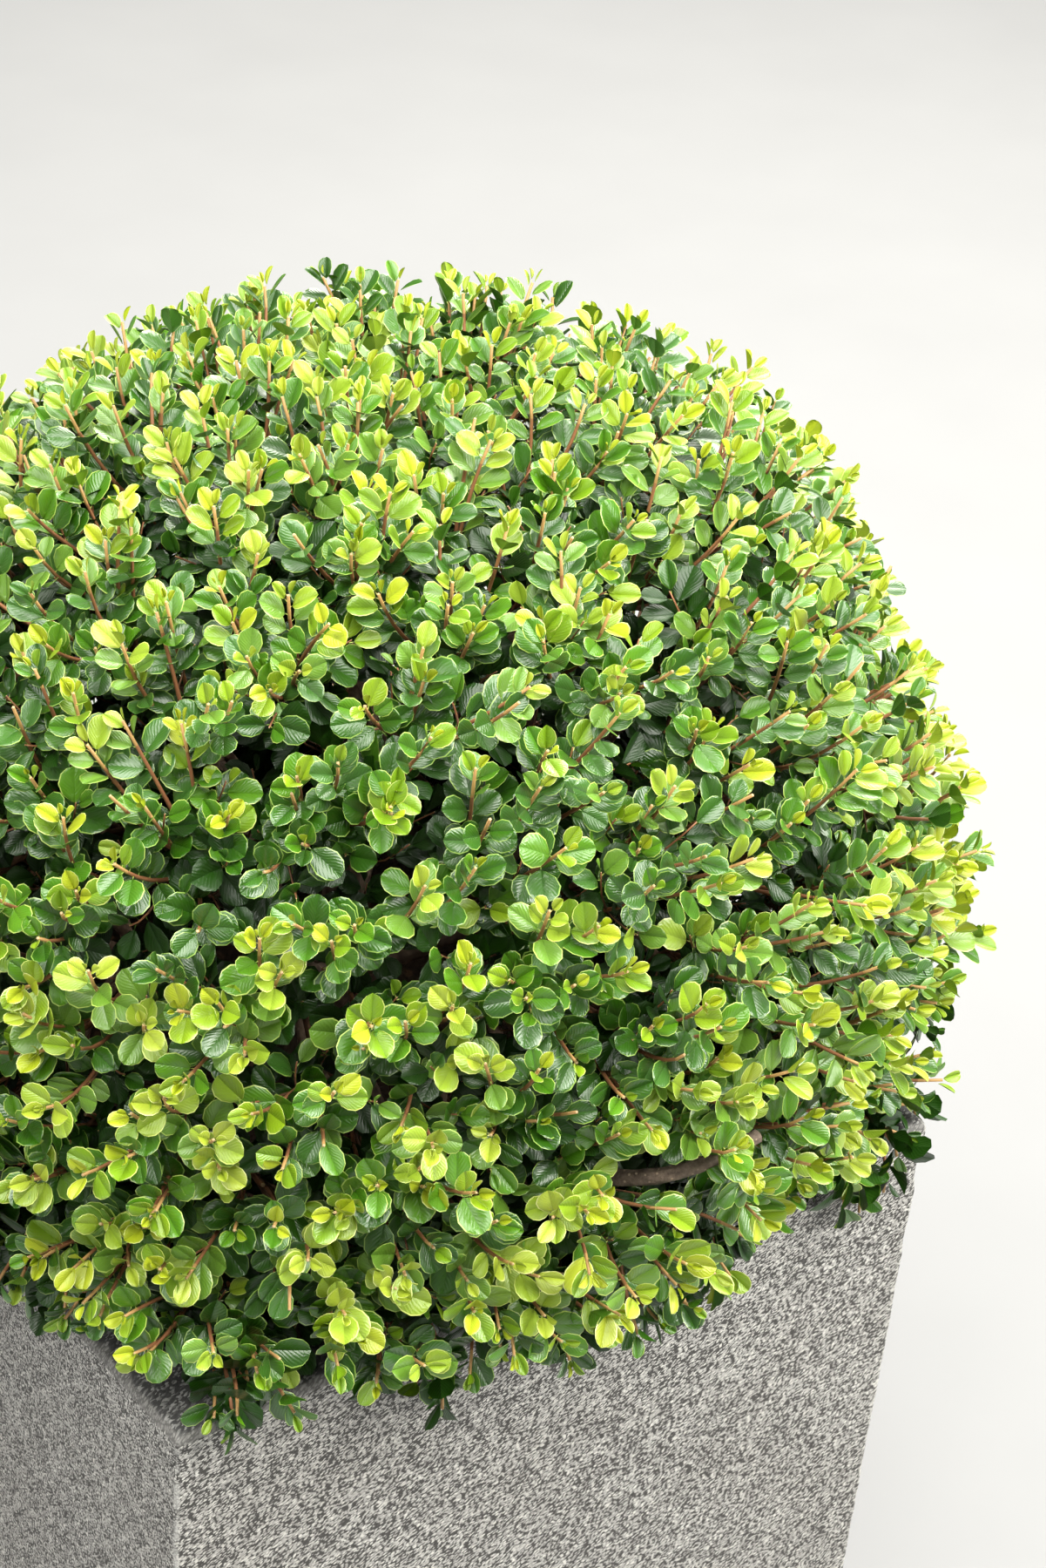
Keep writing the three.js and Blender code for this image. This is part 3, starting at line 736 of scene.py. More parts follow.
def leaves_on(curves, ranks_of, random, vigour, older, bare=0.0, scale=1.0):
    """Leaves in two ranks along each shoot, as arrays of one entry a leaf.

    ranks_of gives their distances from the shoot's end, lengths and opening angles. A leaf's axis
    opens from the shoot to alternate sides. Its face is the side that turns to the shoot's end,
    drawn round to the light, square to its axis. Its hue is its number from the shoot's end over
    the shoot's vigour, cut into steps, and older ones on.
    """
    from_end, lengths, opens = ranks_of
    count, ranks = len(curves), len(from_end)
    length = np.linalg.norm(curves[:, 2] - curves[:, 0], axis=-1)
    spacing = random.uniform(*LEAF_SPACING, (count, 1))
    shift = random.uniform(-LEAF_SHIFT, LEAF_SHIFT, (count, ranks))
    distance = from_end * spacing + shift * np.maximum(from_end * LEAF_SHIFT_SHARE, 1)
    shares = 1 - distance / length[:, None]
    point, way = bezier(curves, np.clip(shares, 0, 1))
    out = unit(curves[:, 2] - HEART)[:, None]
    pull = mixed(*OPEN_BY_RISE, np.clip(out[..., 2:], 0, 1)) * OPEN_SIDE
    stray = LIGHT_SPREAD * random.normal(size=(count, ranks, 3))
    light = unit(LIGHT_OUT * out + LIGHT_UP * UP + pull + stray)
    shown = out + pull
    shown = shown - (shown * way).sum(-1, keepdims=True) * way
    lateral = unit(np.cross(way, shown + SHOWN_SPREAD * random.normal(size=(count, 1, 3))))
    lateral = lateral * np.where(np.arange(ranks) % 2, 1, -1)[:, None]
    twist = random.normal(0, TWIST_SPREAD, (count, 1, 1)) * np.arange(ranks)[:, None]
    turn = np.radians(random.normal(0, TURN_SPREAD, (count, ranks, 1)) + twist)
    lateral = lateral * np.cos(turn) + np.cross(way, lateral) * np.sin(turn)
    open_angle = np.radians(opens + random.normal(0, OPEN_SPREAD, (count, ranks)))[..., None]
    axis = way * np.cos(open_angle) + lateral * np.sin(open_angle)
    inner = way * np.sin(open_angle) - lateral * np.cos(open_angle)
    face = inner + np.linspace(*TO_LIGHT, ranks)[:, None] * light
    face = unit(face - (face * axis).sum(-1, keepdims=True) * axis)
    size = lengths * random.normal(1, LEAF_SIZE_SPREAD, (count, ranks)).clip(*LEAF_SIZE_RANGE)
    size = size * np.broadcast_to(scale, count)[:, None]
    widths = np.interp(lengths, *WIDTH_BY_LENGTH)
    folds = np.interp(lengths, *FOLD_BY_LENGTH)
    age = np.arange(ranks) / vigour[:, None] + random.normal(0, HUE_SPREAD, (count, ranks))
    hue = np.digitize(age, HUE_STEPS) + older[:, None]
    leaves = {
        "base": point + lateral * BLADE_OFF_TWIG + axis * PETIOLE,
        "axis": axis,
        "face": face,
        "length": size,
        "width": random.uniform(*LEAF_WIDTH_SHARE, (count, ranks)) * widths,
        "fold": np.clip(folds + random.normal(0, FOLD_SPREAD, (count, ranks)), *FOLD_RANGE),
        "roll": random.uniform(*LEAF_ROLL, (count, ranks)),
        "curl": random.uniform(*LEAF_CURL, (count, ranks)),
        "swerve": random.normal(0, LEAF_SWERVE, (count, ranks)),
        "hue": np.clip(hue, 0, len(HUES) - 1),
        "tint": np.broadcast_to(random.integers(0, TINTS, (count, 1)), (count, ranks)),
    }
    fitting = (shares > LEAFLESS_FOOT) & (distance >= np.broadcast_to(bare, count)[:, None])
    return {key: value[fitting] for key, value in leaves.items()}


def picked(leaves, mask):
    """Only the leaves that the mask marks."""
    return {key: value[mask] for key, value in leaves.items()}


def joined(groups):
    """Several groups of leaves as one."""
    return {key: np.concatenate([g[key] for g in groups]) for key in groups[0]}


def off_the_planter(leaves, outline):
    """Leaves that would cut into the planter are moved out of it, or left out if far in."""
    points = leaf_points(leaves, outline)
    half = RIM_SIDE / 2 + LEAF_CLEAR
    flat = np.abs(points[..., :2]).max(-1)
    inside = (flat < half) & (points[..., 2] < RIM_Z + LEAF_CLEAR)
    inner = RIM_SIDE / 2 - WALL - INNER_WALL_CLEAR
    over_soil = (flat < inner) & (points[..., 2] > RIM_Z - SOIL_BELOW_RIM + SOIL_CLEAR)
    inside &= ~over_soil
    over = np.where(inside, RIM_Z + LEAF_CLEAR - points[..., 2], 0).max(-1)
    out = np.where(inside, half - flat, 0).max(-1)
    up = over <= out
    leaves["base"] = leaves["base"] + np.where(up, over, 0)[:, None] * UP
    middle = leaves["base"]
    on_x = np.abs(middle[:, 0]) >= np.abs(middle[:, 1])
    push = np.where(up, 0, out)
    sides = np.stack([np.where(on_x, push, 0), np.where(on_x, 0, push), 0 * push], -1)
    leaves["base"] = leaves["base"] + np.sign(middle) * sides
    return picked(leaves, np.minimum(over, out) < LEAF_MOVED_MOST)


def clear_of_old_limb(leaves, curve):
    """Without the leaves that would hide a length of the old limb from above and in front."""
    line = bezier(curve, np.linspace(*OLD_LIMB_SHOWN, OLD_LIMB_SAMPLES)[None])[0][0]
    view = unit(np.array(OLD_LIMB_SEEN_FROM))
    middle = leaves["base"] + leaves["axis"] * leaves["length"][:, None] / 2
    gap = middle[:, None] - line
    ahead = np.clip((gap * view).sum(-1), 0, OLD_LIMB_LEAVES_AHEAD)
    apart = np.linalg.norm(gap - ahead[..., None] * view, axis=-1).min(-1)
    return picked(leaves, apart > OLD_LIMB_GAP)


def leaf_piece(name, leaves, outline):
    """One joined mesh of leaves with their short stalks. Each tint has a blade and a margin."""
    points, quads, triangles, quad_parts, triangle_parts = outline
    blades = leaf_points(leaves, points)
    count, size = len(blades), len(points) + 2
    sideways = np.cross(leaves["axis"], leaves["face"])
    foot = leaves["base"] - leaves["axis"] * (PETIOLE + PETIOLE_IN_TWIG)
    stalk = np.stack([foot - PETIOLE_HALF * sideways, foot + PETIOLE_HALF * sideways], 1)
    stalk_face = np.array([[len(points), len(points) + 1, len(points) - 2]])
    every = np.concatenate([blades, stalk], 1).reshape(-1, 3)
    one = np.concatenate([triangles, stalk_face])
    parts = np.concatenate([triangle_parts, [MARGIN]])
    blade_slot = 2 * leaves["tint"][:, None]
    uv = np.concatenate([np.stack([points[:, 0] / 2 + 0.5, points[:, 2]], -1), [[0.5, 0], [0.5, 0]]])
    rib = np.concatenate([np.abs(points[:, 0]) < 1e-6, [False, False]])
    return fresh_mesh(
        name,
        every,
        repeated(quads, count, size),
        repeated(one, count, size),
        ((blade_slot + quad_parts).ravel(), (blade_slot + parts).ravel()),
        uv=np.tile(uv, (count, 1)),
        creases=np.tile(rib, count),
    )


# Finishes

# Granite: tones as a screen shows them, and where the rim, its bevel, the uprights and the foot
# look otherwise, by the distance under the rim, out from the middle and above the floor
STONE = ((153, 151, 148), (190, 188, 184))
PALE_GRAIN = (227, 225, 219)
CLOUDED = (140, 134, 126)
DARK_GRAIN = (44, 42, 39)
BEVEL_TONE = (112, 110, 108)
# The rim's flat top under the foliage is dark with pale flecks: partly damp stone, partly painted
# shade.
DAMP_AND_SHADED_TOP_TONES = ((62, 61, 62), (158, 157, 155))
WORN_TONE = (205, 204, 200)
FOOT_TONE = (96, 90, 82)
GRAIN_WAY = (0.85, 0.35, 0.36)
GRAIN_LONG = 2.8
GRAIN_WIDE = 1.0
TOP_BAND = (1.2, 0.5)
BEVEL_BAND = (5.5, 4.5)
UPRIGHT_BAND = (215.2, 216.5)
FOOT_BAND = (0, 160)
# Potting soil and its chips of bark, and the lenticels and furrows of bark
EARTH_TONES = ((38, 28, 21), (84, 64, 48))
BARK_CHIP = (120, 88, 62)
LENTICEL = (196, 172, 146)
FURROW = (60, 46, 38)
# Side veins of a leaf: how many radians of their sine lie along it, and how far they sweep
VEINS = 46
VEIN_SWEEP = 26
# Blade in three tints, and margin, of each hue, as a screen shows them. In the lime, fresh, green and
# deep hues the
# third tint is paler and greyer: partly a waxy bloom, partly a painted sheen of the sky's reflection
LEAF_TONES = {
    "lime": (((168, 182, 28), (180, 194, 36), (168, 186, 52)), (224, 230, 146)),
    "fresh": (((136, 168, 22), (120, 158, 20), (152, 180, 46)), (218, 230, 122)),
    "green": (((84, 136, 16), (72, 124, 16), (106, 148, 46)), (188, 212, 104)),
    "deep": (((50, 98, 10), (44, 88, 10), (64, 110, 36)), (150, 184, 84)),
    # The shade hue of the inner leaves is darker than the deep hue: partly their own dark green,
    # partly painted shade inside the crown
    "shade": (((28, 64, 6), (32, 70, 8), (28, 58, 10)), (82, 120, 40)),
}
# Roughness and specular level of each hue
LEAF_GLOSS = {
    "lime": (0.42, 0.9),
    "fresh": (0.38, 0.9),
    "green": (0.33, 0.95),
    "deep": (0.3, 0.95),
    "shade": (0.34, 0.6),
}


class Value:
    """A node's output that works in sums like a number."""

    def __init__(self, nodes, socket):
        self.nodes = nodes
        self.socket = socket

    def sum_with(self, operation, *others):
        values = dict(enumerate((self, *others)))
        return self.nodes.node("Math", {"operation": operation}, values)

    def reversed_with(self, operation, other):
        return self.nodes.node("Math", {"operation": operation}, {0: other, 1: self})

    def __add__(self, other):
        return self.sum_with("ADD", other)

    __radd__ = __add__

    def __mul__(self, other):
        return self.sum_with("MULTIPLY", other)

    __rmul__ = __mul__

    def __sub__(self, other):
        return self.sum_with("SUBTRACT", other)

    def __rsub__(self, other):
        return self.reversed_with("SUBTRACT", other)

    def __truediv__(self, other):
        return self.sum_with("DIVIDE", other)

    def __rtruediv__(self, other):
        return self.reversed_with("DIVIDE", other)

    def __abs__(self):
        return self.sum_with("ABSOLUTE")

    def sine(self):
        return self.sum_with("SINE")

    def most(self, other):
        return self.sum_with("MAXIMUM", other)

    def least(self, other):
        return self.sum_with("MINIMUM", other)

    def between(self, low, high):
        """0 below low, 1 above high, and an even, clamped rise from one to the other."""
        values = {"Value": self, "From Min": low, "From Max": high}
        return self.nodes.node("MapRange", {"clamp": True}, values)


class Nodes:
    """A tree of nodes that all come from node()."""

    def __init__(self, tree):
        self.tree = tree

    def node(self, kind, settings=None, inputs=None, output=0):
        """One node: its type, its settings, and the values or links of its sockets."""
        made = self.tree.nodes.new("ShaderNode" + kind)
        for key, setting in (settings or {}).items():
            setattr(made, key, setting)
        for key, value in (inputs or {}).items():
            self.feed(made.inputs[key], value)
        return Value(self, made.outputs[output])

    def feed(self, socket, value):
        """Links a value to a socket, or sets the socket to it."""
        if isinstance(value, Value):
            self.tree.links.new(value.socket, socket)
        else:
            socket.default_value = value

    def along(self, vector, way):
        """How far a vector reaches along a fixed direction."""
        values = {0: vector, 1: tuple(way)}
        return self.node("VectorMath", {"operation": "DOT_PRODUCT"}, values, output="Value")


class Finish(Nodes):
    """A material of one shader and the nodes that feed it."""

    def __init__(self, name):
        self.material = bpy.data.materials.new(name)
        self.material.use_nodes = True
        super().__init__(self.material.node_tree)
        self.shader = self.tree.nodes["Principled BSDF"]

    def surface(self, **inputs):
        """Feeds the shader's own sockets and gives back the material."""
        for key, value in inputs.items():
            self.feed(self.shader.inputs[key.replace("_", " ")], value)
        return self.material

    def place(self):
        return self.node("TexCoord", output="Object")

    def parts_of(self, vector):
        """The three parts of a vector."""
        made = self.node("SeparateXYZ", inputs={0: vector})
        return [Value(self, socket) for socket in made.socket.node.outputs]

    def vector(self, x, y, z):
        return self.node("CombineXYZ", inputs={0: x, 1: y, 2: z})

    def noise(self, scale, detail, roughness):
        """Cloudy noise over the object's own place."""
        values = {"Vector": self.place(), "Scale": scale, "Detail": detail, "Roughness": roughness}
        return self.node("TexNoise", inputs=values)

    def cells(self, vector, scale, output="Distance"):
        """Grains: how far off the nearest one's middle lies, or its own random colour."""
        values = {"Vector": vector, "Scale": scale}
        return self.node("TexVoronoi", {"feature": "F1"}, values, output)

    def mixed(self, factor, first, second):
        """A colour between two, which are links or tones as a screen shows them."""
        first, second = (v if isinstance(v, Value) else linear(*v) for v in (first, second))
        return self.node("Mix", {"data_type": "RGBA"}, {0: factor, 6: first, 7: second}, output=2)

    def bump(self, height, strength, distance):
        return self.node("Bump", inputs={"Height": height, "Strength": strength, "Distance": distance})


def linear(red, green, blue):
    """A colour as a screen shows it, 0 to 255, turned to the light it stands for."""
    shares = np.array([red, green, blue]) / 255
    light = np.where(shares <= 0.04045, shares / 12.92, ((shares + 0.055) / 1.055) ** 2.4)
    return (*(float(v) for v in light), 1.0)


def stretched_place(finish, long_way, long, wide):
    """Object coordinates turned so that a pattern is drawn out along long_way."""
    first = unit(np.array(long_way))
    ways = (first, *across_frame(first))
    parts = [finish.along(finish.place(), way) for way in ways]
    return finish.vector(parts[0] / (long * MM), parts[1] / (wide * MM), parts[2] / (wide * MM))


def granite():
    """Grey granite with dark grains drawn out along the sawing, and pale ones between."""
    f = Finish("granite")
    grain_place = stretched_place(f, GRAIN_WAY, GRAIN_LONG, GRAIN_WIDE)
    edge = f.cells(grain_place, 1.0)
    kind, other, _ = f.parts_of(f.cells(grain_place, 1.0, "Color"))
    cluster = f.noise(190.0, 1.0, 0.5)
    cloud = f.noise(9.0, 3.0, 0.55)
    x, y, z = f.parts_of(f.place())
    gap = (edge + (0.5 - cluster) * 0.55).between(0.50, 0.60)
    dark = gap.most(1 - kind.between(0.07, 0.12))
    stone = f.mixed(other, *STONE)
    stone = f.mixed(kind.between(0.62, 0.95) * 0.85, stone, PALE_GRAIN)
    stone = f.mixed(cloud.between(0.3, 0.7) * 0.22, stone, CLOUDED)
    stone = f.mixed(dark * 0.95, stone, DARK_GRAIN)
    on_damp_shaded_top, on_bevel = (
        z.between(*((RIM_Z - depth) * MM for depth in band)) for band in (TOP_BAND, BEVEL_BAND)
    )
    stone = f.mixed(on_bevel * 0.7, stone, BEVEL_TONE)
    fleck = kind.between(0.6, 0.95)
    # The rim's flat top takes the dark tone with pale flecks: partly damp, partly painted shade.
    stone = f.mixed(on_damp_shaded_top * 0.9, stone, f.mixed(fleck, *DAMP_AND_SHADED_TOP_TONES))
    lean = (RIM_SIDE - FOOT_SIDE) / 2 / PLANTER_HEIGHT
    corner = (abs(x).least(abs(y)) - z * lean).between(*(out * MM for out in UPRIGHT_BAND))
    worn = corner * f.noise(160.0, 2.0, 0.6).between(0.42, 0.56)
    stone = f.mixed(worn * 0.55, stone, WORN_TONE)
    low = (1 - z.between(*(up * MM for up in FOOT_BAND))) * cloud.between(0.35, 0.7)
    stone = f.mixed(low * 0.25, stone, FOOT_TONE)
    return f.surface(
        Base_Color=stone, Roughness=dark * -0.12 + 0.72, Normal=f.bump(0.8 - edge, 0.5, 0.0007)
    )


def earth():
    """Dark moist potting soil with crumbs of bark."""
    f = Finish("earth")
    crumb = f.cells(f.place(), 190.0)
    fine = f.noise(420.0, 3.0, 0.6)
    tone = f.mixed(fine, *EARTH_TONES)
    chip = f.noise(70.0, 2.0, 0.6).between(0.57, 0.64)
    tone = f.mixed(chip * 0.6, tone, BARK_CHIP)
    return f.surface(Base_Color=tone, Roughness=0.95, Normal=f.bump(crumb + fine * 0.5, 0.8, 0.002))


def bark(name, dark, light, scale):
    """Bark with cloudy streaks, pale lenticels and a fine grain."""
    f = Finish(name)
    streak = f.noise(60.0 * scale, 4.0, 0.65)
    fine = f.noise(260.0 * scale, 3.0, 0.6)
    tone = f.mixed(streak.between(0.35, 0.65), dark, light)
    spot = f.cells(f.place(), 120.0 * scale)
    tone = f.mixed((1 - spot.between(0.12, 0.22)) * 0.6, tone, LENTICEL)
    tone = f.mixed(fine.between(0.55, 0.75) * 0.4, tone, FURROW)
    return f.surface(Base_Color=tone, Roughness=0.82, Normal=f.bump(streak + fine * 0.6, 0.6, 0.0012))


def leaf_finish(name, tone, gloss, veins):
    """A plain leaf colour, with side veins and fine wrinkles that only catch the light."""
    f = Finish(name)
    u, v, _ = f.parts_of(f.node("TexCoord", output="UV"))
    away = abs(u - 0.5) * 2
    bulge = away * (1 - away) * 4
    vein = (v * VEINS - away * VEIN_SWEEP).sine() * veins
    wrinkle = f.noise(900.0, 2.0, 0.6)
    return f.surface(
        Base_Color=linear(*tone),
        Roughness=gloss[0],
        Specular_IOR_Level=gloss[1],
        Normal=f.bump(bulge * 0.5 + vein * 0.035 + wrinkle * 0.09, 1.0, 0.001),
    )


def twig_finish(name, tone, roughness):
    """A plain twig colour with a fine grain that only catches the light."""
    f = Finish(name)
    grain = f.noise(700.0, 2.0, 0.6)
    return f.surface(Base_Color=linear(*tone), Roughness=roughness, Normal=f.bump(grain, 0.4, 0.0004))


# The pieces


def planter_profile():
    """Half-widths and heights from the underside up the wall, over the rim and down inside."""
    top, foot = outer_half(RIM_Z), outer_half(0)
    below_bevel = RIM_Z - RIM_BEVEL - np.array(BELOW_BEVEL)
    wall_z = np.arange(FOOT_BEVEL + STEP_UP_WALL, below_bevel[0] - 1, STEP_UP_WALL)
    inner_z = np.linspace(RIM_Z - INNER_EDGE, FLOOR, INNER_ROWS)
    bend = np.radians(np.linspace(0, 90, BEVEL_ROWS))
    profile = [(foot - FOOT_BEVEL, 0), (foot - FOOT_CHAMFER, FOOT_CHAMFER)]
    profile += [(outer_half(z), z) for z in (FOOT_BEVEL, *wall_z, *below_bevel)]
    profile += [
        (top - RIM_BEVEL * (1 - math.cos(a)), RIM_Z - RIM_BEVEL * (1 - math.sin(a))) for a in bend
    ]
    profile += [(top - inward, RIM_Z) for inward in ACROSS_RIM]
    profile += [(top - WALL + INNER_CHAMFER[0], RIM_Z - INNER_CHAMFER[1]), (top - WALL, inner_z[0])]
    profile += [(outer_half(z) - WALL, z) for z in inner_z[1:]]
    return np.array(profile, float).T


def planter_piece(random):
    """A profile from the underside round to the inner floor, carried round a square.

    The square's corners are rounded to a small radius. Near the rim and the uprights the
    stone is worn back by the positive part of an uneven ripple.
    """
    half, z = (row[:, None] for row in planter_profile())
    sharp = np.concatenate([np.linspace(0, EVEN_END, EVEN_COLUMNS), UPRIGHT_COLUMNS])
    side = np.concatenate([-sharp[-2:0:-1], sharp])
    one = np.ones_like(side)
    x = half * np.concatenate([side, one, -side, -one])
    y = half * np.concatenate([-one, side, one, -side])
    core = half - UPRIGHT_ROUND
    dx, dy = np.maximum(np.abs(x) - core, 0), np.maximum(np.abs(y) - core, 0)
    both = (dx > 0) & (dy > 0)
    shrink = UPRIGHT_ROUND / np.maximum(np.hypot(dx, dy), 1e-9)
    x = np.where(both, np.sign(x) * (core + dx * shrink), x)
    y = np.where(both, np.sign(y) * (core + dy * shrink), y)
    points = np.stack([x, y, np.broadcast_to(z, x.shape)], -1)

    outside = (half > outer_half(z) - WORN_INWARD) & (z > WORN_ABOVE)
    rim_near = np.exp(-(((RIM_Z - z) / CHIP_BAND) ** 2))
    from_upright = np.maximum(outer_half(z) - np.minimum(np.abs(x), np.abs(y)), 0)
    near = np.maximum(rim_near, np.exp(-((from_upright / CHIP_BAND) ** 2))) * outside
    coarse, fine = (ripples(points, length, random) for length in CHIP_LENGTHS)
    wear = np.maximum(coarse - CHIP_CALM, 0) + FINE_CHIP * np.abs(fine)
    drawn_in = unit(np.stack([-x, -y, -CHIP_DOWN * np.abs(x)], -1))
    points = points + drawn_in * (CHIP_DEPTH * near * wear)[..., None]
    return capped_mesh("planter_stone", points, (0, 0, 0), (0, 0, FLOOR))


def soil_piece(random):
    """A lumpy square sheet on top of a plain block that fills the planter."""
    high, low = RIM_Z - SOIL_BELOW_RIM, FLOOR + SEAT
    half_high, half_low = outer_half(high) - WALL - SEAT, outer_half(low) - WALL - SEAT
    steps = np.linspace(-1, 1, SOIL_STEPS)
    v, u = np.meshgrid(steps, steps, indexing="ij")
    x, y = u * half_high, v * half_high
    inside = (1 - np.abs(u) ** SOIL_EDGE_POWER) * (1 - np.abs(v) ** SOIL_EDGE_POWER)
    flat = np.stack([x, y, np.zeros_like(x)], -1)
    coarse, fine = (ripples(flat, length, random) for length in SOIL_LUMP_LENGTHS)
    lumps = SOIL_LUMP * coarse + 0.5 * SOIL_LUMP * fine
    top = np.stack([x, y, high + (lumps - SOIL_SETTLED * SOIL_LUMP) * inside], -1).reshape(-1, 3)
    grid = np.arange(SOIL_STEPS**2).reshape(SOIL_STEPS, SOIL_STEPS)
    border = np.concatenate([grid[0, :-1], grid[:-1, -1], grid[-1, :0:-1], grid[:0:-1, 0]])
    below = top[border] * [half_low / half_high, half_low / half_high, 0] + [0, 0, low]
    lower = len(top) + np.arange(len(border))
    lower_on = np.roll(lower, -1)
    walls = np.stack([border, lower, lower_on, np.roll(border, -1)], -1)
    middle = np.full(len(border), len(top) + len(border))
    floor = np.stack([middle, lower_on, lower], -1)
    every = np.concatenate([top, below, [[0, 0, low]]])
    faces = np.concatenate([grid_faces(SOIL_STEPS, SOIL_STEPS, False), walls])
    return fresh_mesh("potting_soil", every, faces, floor)


def furrowed(angle, height, grain, lengths, depth, random, even=1.0, apart=0):
    """The share of its radius that each point of bark lies out.

    Coarse ripples vary it by depth and fine ones by half of that. Their places wind round a
    circle and run on by a share of the height, which draws them out along the limb.
    """
    round_size, along_share = grain
    spots = (round_size * np.cos(angle), round_size * np.sin(angle), height * along_share)
    spots = np.stack(np.broadcast_arrays(*spots), -1) + apart
    coarse, fine = (ripples(spots, length, random) for length in lengths)
    return even + depth * coarse + 0.5 * depth * fine


def barked(name, curves, first, last, rough, random):
    """Limbs whose radii run evenly from first to last, with bark in rings, sides and a depth."""
    rings, sides, depth = rough
    ends = (np.broadcast_to(radius, len(curves)) for radius in (first, last))
    radii = np.linspace(*ends, rings, axis=-1)

    def relief(ring, angle):
        length = np.linalg.norm(curves[:, 2] - curves[:, 0], axis=-1)[:, None, None]
        height = np.linspace(0, 1, rings)[:, None] * length
        apart = BARK_APART * np.arange(len(curves))[:, None, None, None]
        return furrowed(angle, height, LIMB_GRAIN, LIMB_FURROWS, depth, random, apart=apart)

    return fresh_mesh(name, *tubes(curves, radii, rings, sides, relief))


def trunk_piece(random):
    """The trunk's rings widen to five root lobes at the foot, with furrowed bark."""
    share = np.linspace(0, 1, TRUNK_RINGS) ** TRUNK_RING_POWER
    middle = mixed(TRUNK_FOOT, TRUNK_TOP, share[:, None])
    height = (share * (TRUNK_TOP[2] - TRUNK_FOOT[2]))[:, None]
    near = np.exp(-height / FLARE_HEIGHT)
    angle = FULL_TURN * np.arange(TRUNK_SIDES) / TRUNK_SIDES
    lobe = 1 + FLARE_LOBE_DEPTH * near * np.cos(FLARE_LOBES * angle)
    even = mixed(TRUNK_FOOT_RADIUS, TRUNK_TOP_RADIUS, share)[:, None]
    radius = even * (1 + FLARE_SPREAD * near) * lobe
    bark_share = furrowed(angle, height, TRUNK_GRAIN, TRUNK_FURROWS, TRUNK_DEPTH, random, TRUNK_EVEN)
    spoke = np.stack([np.cos(angle), np.sin(angle), 0 * angle], -1)
    ring = middle[:, None] + (radius * bark_share)[..., None] * spoke
    return capped_mesh("trunk_bark", ring, middle[0], middle[-1])


def twig_piece(name, groups):
    """Joined twigs. Each ring's faces take a slot by how near the end they lie."""
    every, quads, triangles, quad_slots, triangle_slots, first = [], [], [], [], [], 0
    for curves, (base, tip), rings, sides, slots in groups:
        radii = np.broadcast_to(np.linspace(base, tip, rings), (len(curves), rings))
        points, q, t = tubes(curves, radii, rings, sides)
        ring_slots = np.array(slots)[np.arange(rings - 1) * len(slots) // (rings - 1)]
        quad_slots.append(np.tile(np.repeat(ring_slots, sides), len(curves)))
        triangle_slots.append(np.tile(np.repeat([slots[0], CUT], sides), len(curves)))
        every.append(points)
        quads.append(q + first)
        triangles.append(t + first)
        first += len(points)
    joined_groups = (np.concatenate(part) for part in (every, quads, triangles))
    slots = (np.concatenate(quad_slots), np.concatenate(triangle_slots))
    return fresh_mesh(name, *joined_groups, slots)


def finished(piece, materials, slot_name, *nodes):
    """Gives a piece its materials, and its place in the frame."""
    for material in materials:
        piece.data.materials.append(material)
    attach(piece, "root")
    if nodes:
        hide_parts(*nodes)


def dice(number):
    """One of the object's own seeded random generators."""
    return np.random.default_rng(SEED + number)


FOLIAGE_NODES = [f"foliage_{name}" for name in MASSES]
YOUNG, RED, BROWN, CUT = range(4)

finished(planter_piece(dice(0)), [granite()], "granite", "planter")
finished(soil_piece(dice(1)), [earth()], "soil", "soil")

old_bark = bark("old_bark", (96, 78, 66), (150, 128, 110), 1.0)
finished(trunk_piece(dice(2)), [old_bark], "bark", "trunk")

boughs = bough_curves()
stems = stem_curves(boughs)
for number, name in enumerate(MASSES):
    thick = LEADER_RADIUS if name == "top" else BOUGH_BASE_RADIUS
    curve = boughs[number : number + 1]
    piece = barked(f"bough_{name}_bark", curve, thick, BOUGH_TIP_RADIUS, BOUGH_BARK, dice(10 + number))
    finished(piece, [old_bark], "bark", f"bough_{name}")

growth = dice(30)
limbs, branches, branch_masses = grow_wood(boughs, stems, growth)
shoots, shoot_masses = grow_shoots(branches, branch_masses, growth)
spurs = grow_spurs(
    SPURS, SPUR_DEPTHS, SPUR_FIRST_TURN, shoots, shoot_masses, SPUR_FORKS, growth
)
inner_spurs = grow_spurs(
    INNER_SPURS, INNER_DEPTHS, INNER_FIRST_TURN, branches, branch_masses, INNER_FORKS, growth
)

wood_dice = dice(31)
limb_bark = bark("limb_bark", (112, 84, 66), (176, 150, 128), 1.6)
thick = np.repeat([BOUGH_TIP_RADIUS, LIMB_RADII[0]], [len(stems), len(limbs)])
thin = np.repeat([STEM_TIP_RADIUS, LIMB_RADII[1]], [len(stems), len(limbs)])
limb_curves = np.concatenate([stems, limbs])
limb_piece = barked("limbs_bark", limb_curves, thick, thin, LIMB_BARK, wood_dice)
finished(limb_piece, [limb_bark], "bark", *FOLIAGE_NODES)

old_limb = old_limb_curve(boughs)
old_limb_piece = barked("old_limb_bark", old_limb, *OLD_LIMB_RADII, OLD_LIMB_BARK, wood_dice)
rough_bark = bark("rough_bark", (74, 62, 54), (134, 116, 102), 2.4)
finished(old_limb_piece, [rough_bark], "bark", *FOLIAGE_NODES)

twig_finishes = [
    twig_finish("young_stem", (184, 142, 88), 0.5),
    twig_finish("red_twig", (156, 104, 70), 0.5),
    twig_finish("brown_twig", (120, 84, 60), 0.65),
    twig_finish("cut_wood", (206, 176, 132), 0.8),
]
# Curves, radii, rings, sides and the slots from foot to end
twig_groups = [
    (branches, BRANCH_RADII, 8, 6, (BROWN, BROWN, RED)),
    (shoots, SHOOT_RADII, 8, 5, (BROWN, RED, RED, RED, YOUNG)),
    (np.concatenate([spurs, inner_spurs]), SPUR_RADII, 5, 3, (BROWN, RED, RED)),
]
finished(twig_piece("twigs", twig_groups), twig_finishes, "bark", *FOLIAGE_NODES)

